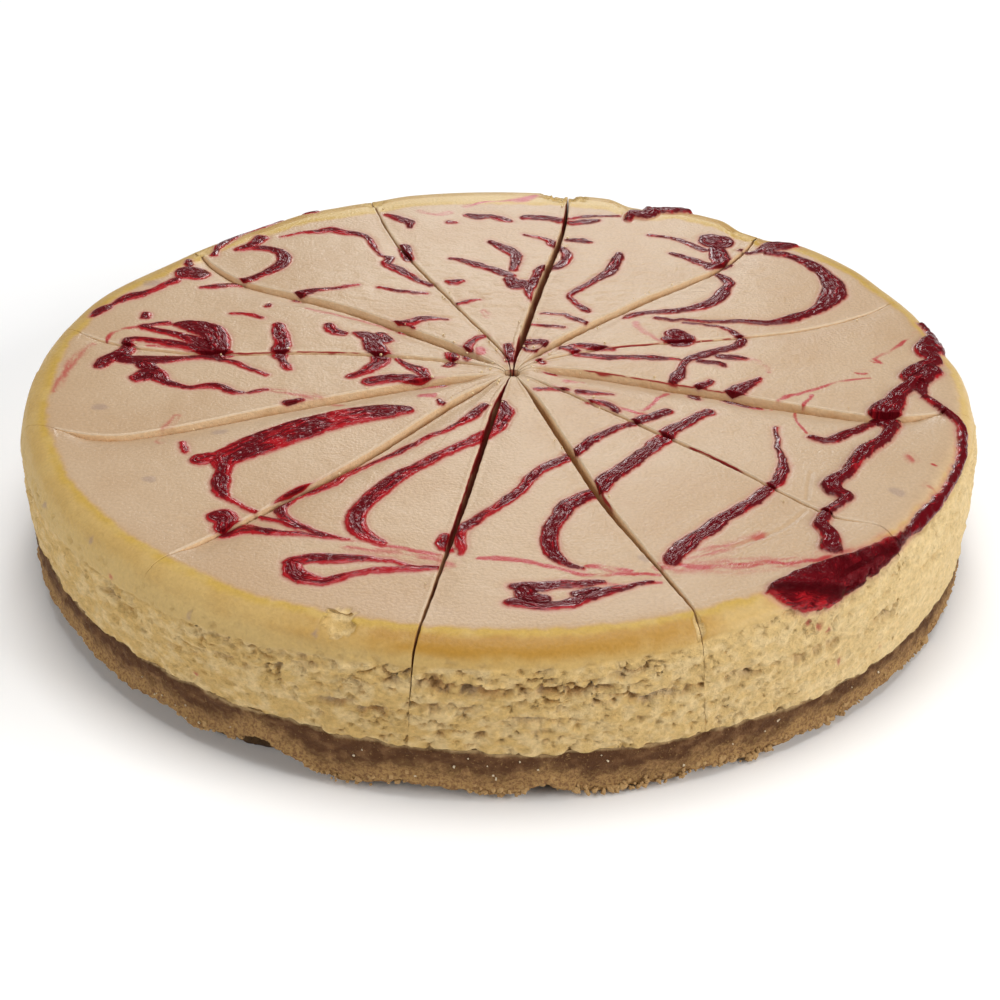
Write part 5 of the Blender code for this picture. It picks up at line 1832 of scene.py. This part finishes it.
@dataclass(frozen=True)
class Studio:
    """Floor, soft lights and camera, seen as in a product photograph."""

    lens: float = 82.93
    elevation: float = 28.33
    tilt_down: float = 31.43
    distance: float = 621.5
    yaw: float = 0.04
    roll: float = 0.39
    floor_size: float = 12.0
    floor_colour: Colour = (0.96, 0.96, 0.96)
    sky: float = 0.13
    backdrop: float = 0.8
    lamps: tuple[SoftLight, ...] = (
        SoftLight("top_light", (0.1, 0.1, 2.2), 1.3, 30.0),
        SoftLight("back_light", (0.05, 1.5, 0.74), 0.34, 5.0),
        SoftLight("right_light", (1.6, -0.8, 0.85), 1.0, 25.0, (1.0, 0.99, 0.97)),
        SoftLight("left_light", (-1.8, -1.1, 1.0), 1.0, 18.5, (1.0, 0.99, 0.97)))

    def floor(self) -> None:
        """Make a plain pale floor at the height of the cake's base."""
        half = self.floor_size / 2.0
        grid = np.linspace(-half, half, 9)
        x, y = np.meshgrid(grid, grid, indexing="ij")
        shell = Shell("floor", ())
        shell.quads(shell.add(np.stack((x / MM, y / MM, x * 0.0 - 0.02), axis=-1)), flip=False)
        g = Graph("pale_floor")
        pale = g.mix(g.noise(900.0), self.floor_colour, (0.97, 0.97, 0.97))
        g.set(Base_Color=pale, Roughness=0.9, Specular_IOR_Level=0.1)
        shell.build(g.material)

    def lights(self) -> None:
        """Set an even dim sky, seen as a pale backdrop, and four soft lights."""
        world = bpy.data.worlds.new("pale_sky")
        bpy.context.scene.world = world
        world.use_nodes = True
        back = world.node_tree.nodes["Background"]
        back.inputs["Color"].default_value = (1.0, 1.0, 1.0, 1.0)
        nodes, links = world.node_tree.nodes, world.node_tree.links
        seen, strength = nodes.new("ShaderNodeLightPath"), nodes.new("ShaderNodeMath")
        strength.operation = "MULTIPLY_ADD"
        strength.inputs[1].default_value = self.backdrop - self.sky
        strength.inputs[2].default_value = self.sky
        links.new(seen.outputs["Is Camera Ray"], strength.inputs[0])
        links.new(strength.outputs[0], back.inputs["Strength"])
        for lamp in self.lamps:
            lamp.hang()
        bpy.context.scene.view_settings.view_transform = "Standard"

    def camera(self, top: float) -> None:
        """Place the camera.

        It stands at the distance and elevation from the middle of the top and
        looks down by the tilt; its right and up axes are then rolled.

        Args:
            top: Height of the cake's top in mm.
        """
        rise, look = math.radians(self.elevation), math.radians(self.tilt_down)
        yaw, roll = math.radians(self.yaw), math.radians(self.roll)
        place = Vector((0.0, -self.distance * math.cos(rise), top + self.distance * math.sin(rise))) * MM
        ahead = Vector((math.sin(yaw) * math.cos(look), math.cos(yaw) * math.cos(look), -math.sin(look)))
        right = Vector((math.cos(yaw), -math.sin(yaw), 0.0))
        up = right.cross(ahead)
        turned_right = right * math.cos(roll) + up * math.sin(roll)
        turned_up = up * math.cos(roll) - right * math.sin(roll)
        data = bpy.data.cameras.new("camera")
        data.lens = self.lens
        data.sensor_width = 36.0
        data.sensor_fit = "HORIZONTAL"
        camera = bpy.data.objects.new("camera", data)
        axes = zip(turned_right, turned_up, -ahead, place)
        camera.matrix_world = Matrix((*axes, (0.0, 0.0, 0.0, 1.0)))
        bpy.context.scene.collection.objects.link(camera)
        bpy.context.scene.camera = camera


def main() -> None:
    """Build the cake's slices, its loose bits and the studio."""
    logging.basicConfig(level=logging.INFO, format="%(message)s")
    log = logging.getLogger("cheesecake")
    form, plan, jam, scratches = CakeForm(), KnifePlan(), JamMap(), Scratches()
    curves, look = plan.curves(), FillingFinish()
    filling_finish, jam_finish, crust_finish = look.make(), look.make_jam(), CrustFinish().make()
    for index in range(SLICES):
        piece = CakeSlice(index, form, plan, jam, scratches, look, curves)
        filling, crust = piece.filling(filling_finish, jam_finish), piece.crust(crust_finish)
        for made, slot, node in ((filling, "filling", "filling_%02d"), (crust, "crust", "crust_%02d")):
            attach(made, "root")
            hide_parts(node % (index + 1))
            log.info("%s: %d points", made.name, len(made.data.vertices))
    bits = LooseBits(form, plan)
    cream = CrumbFinish("cream_crumb", (0.80, 0.64, 0.40), (0.66, 0.47, 0.24), 0.7).make()
    sand = CrumbFinish("sandy_crumb", (0.50, 0.32, 0.13), (0.34, 0.19, 0.075), 0.85).make()
    white = CrumbFinish("sugar", (0.56, 0.45, 0.29), (0.66, 0.56, 0.40), 0.45).make()
    for made, slot in ((bits.top_crumbs(cream), "filling"), (bits.foot_crumbs(sand), "crust"),
                       (bits.sugar(white), "crust")):
        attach(made, "root")
        log.info("%s: %d points", made.name, len(made.data.vertices))
    studio = Studio()
    studio.floor()
    studio.lights()
    studio.camera(form.height)


if __name__ == "__main__":
    main()
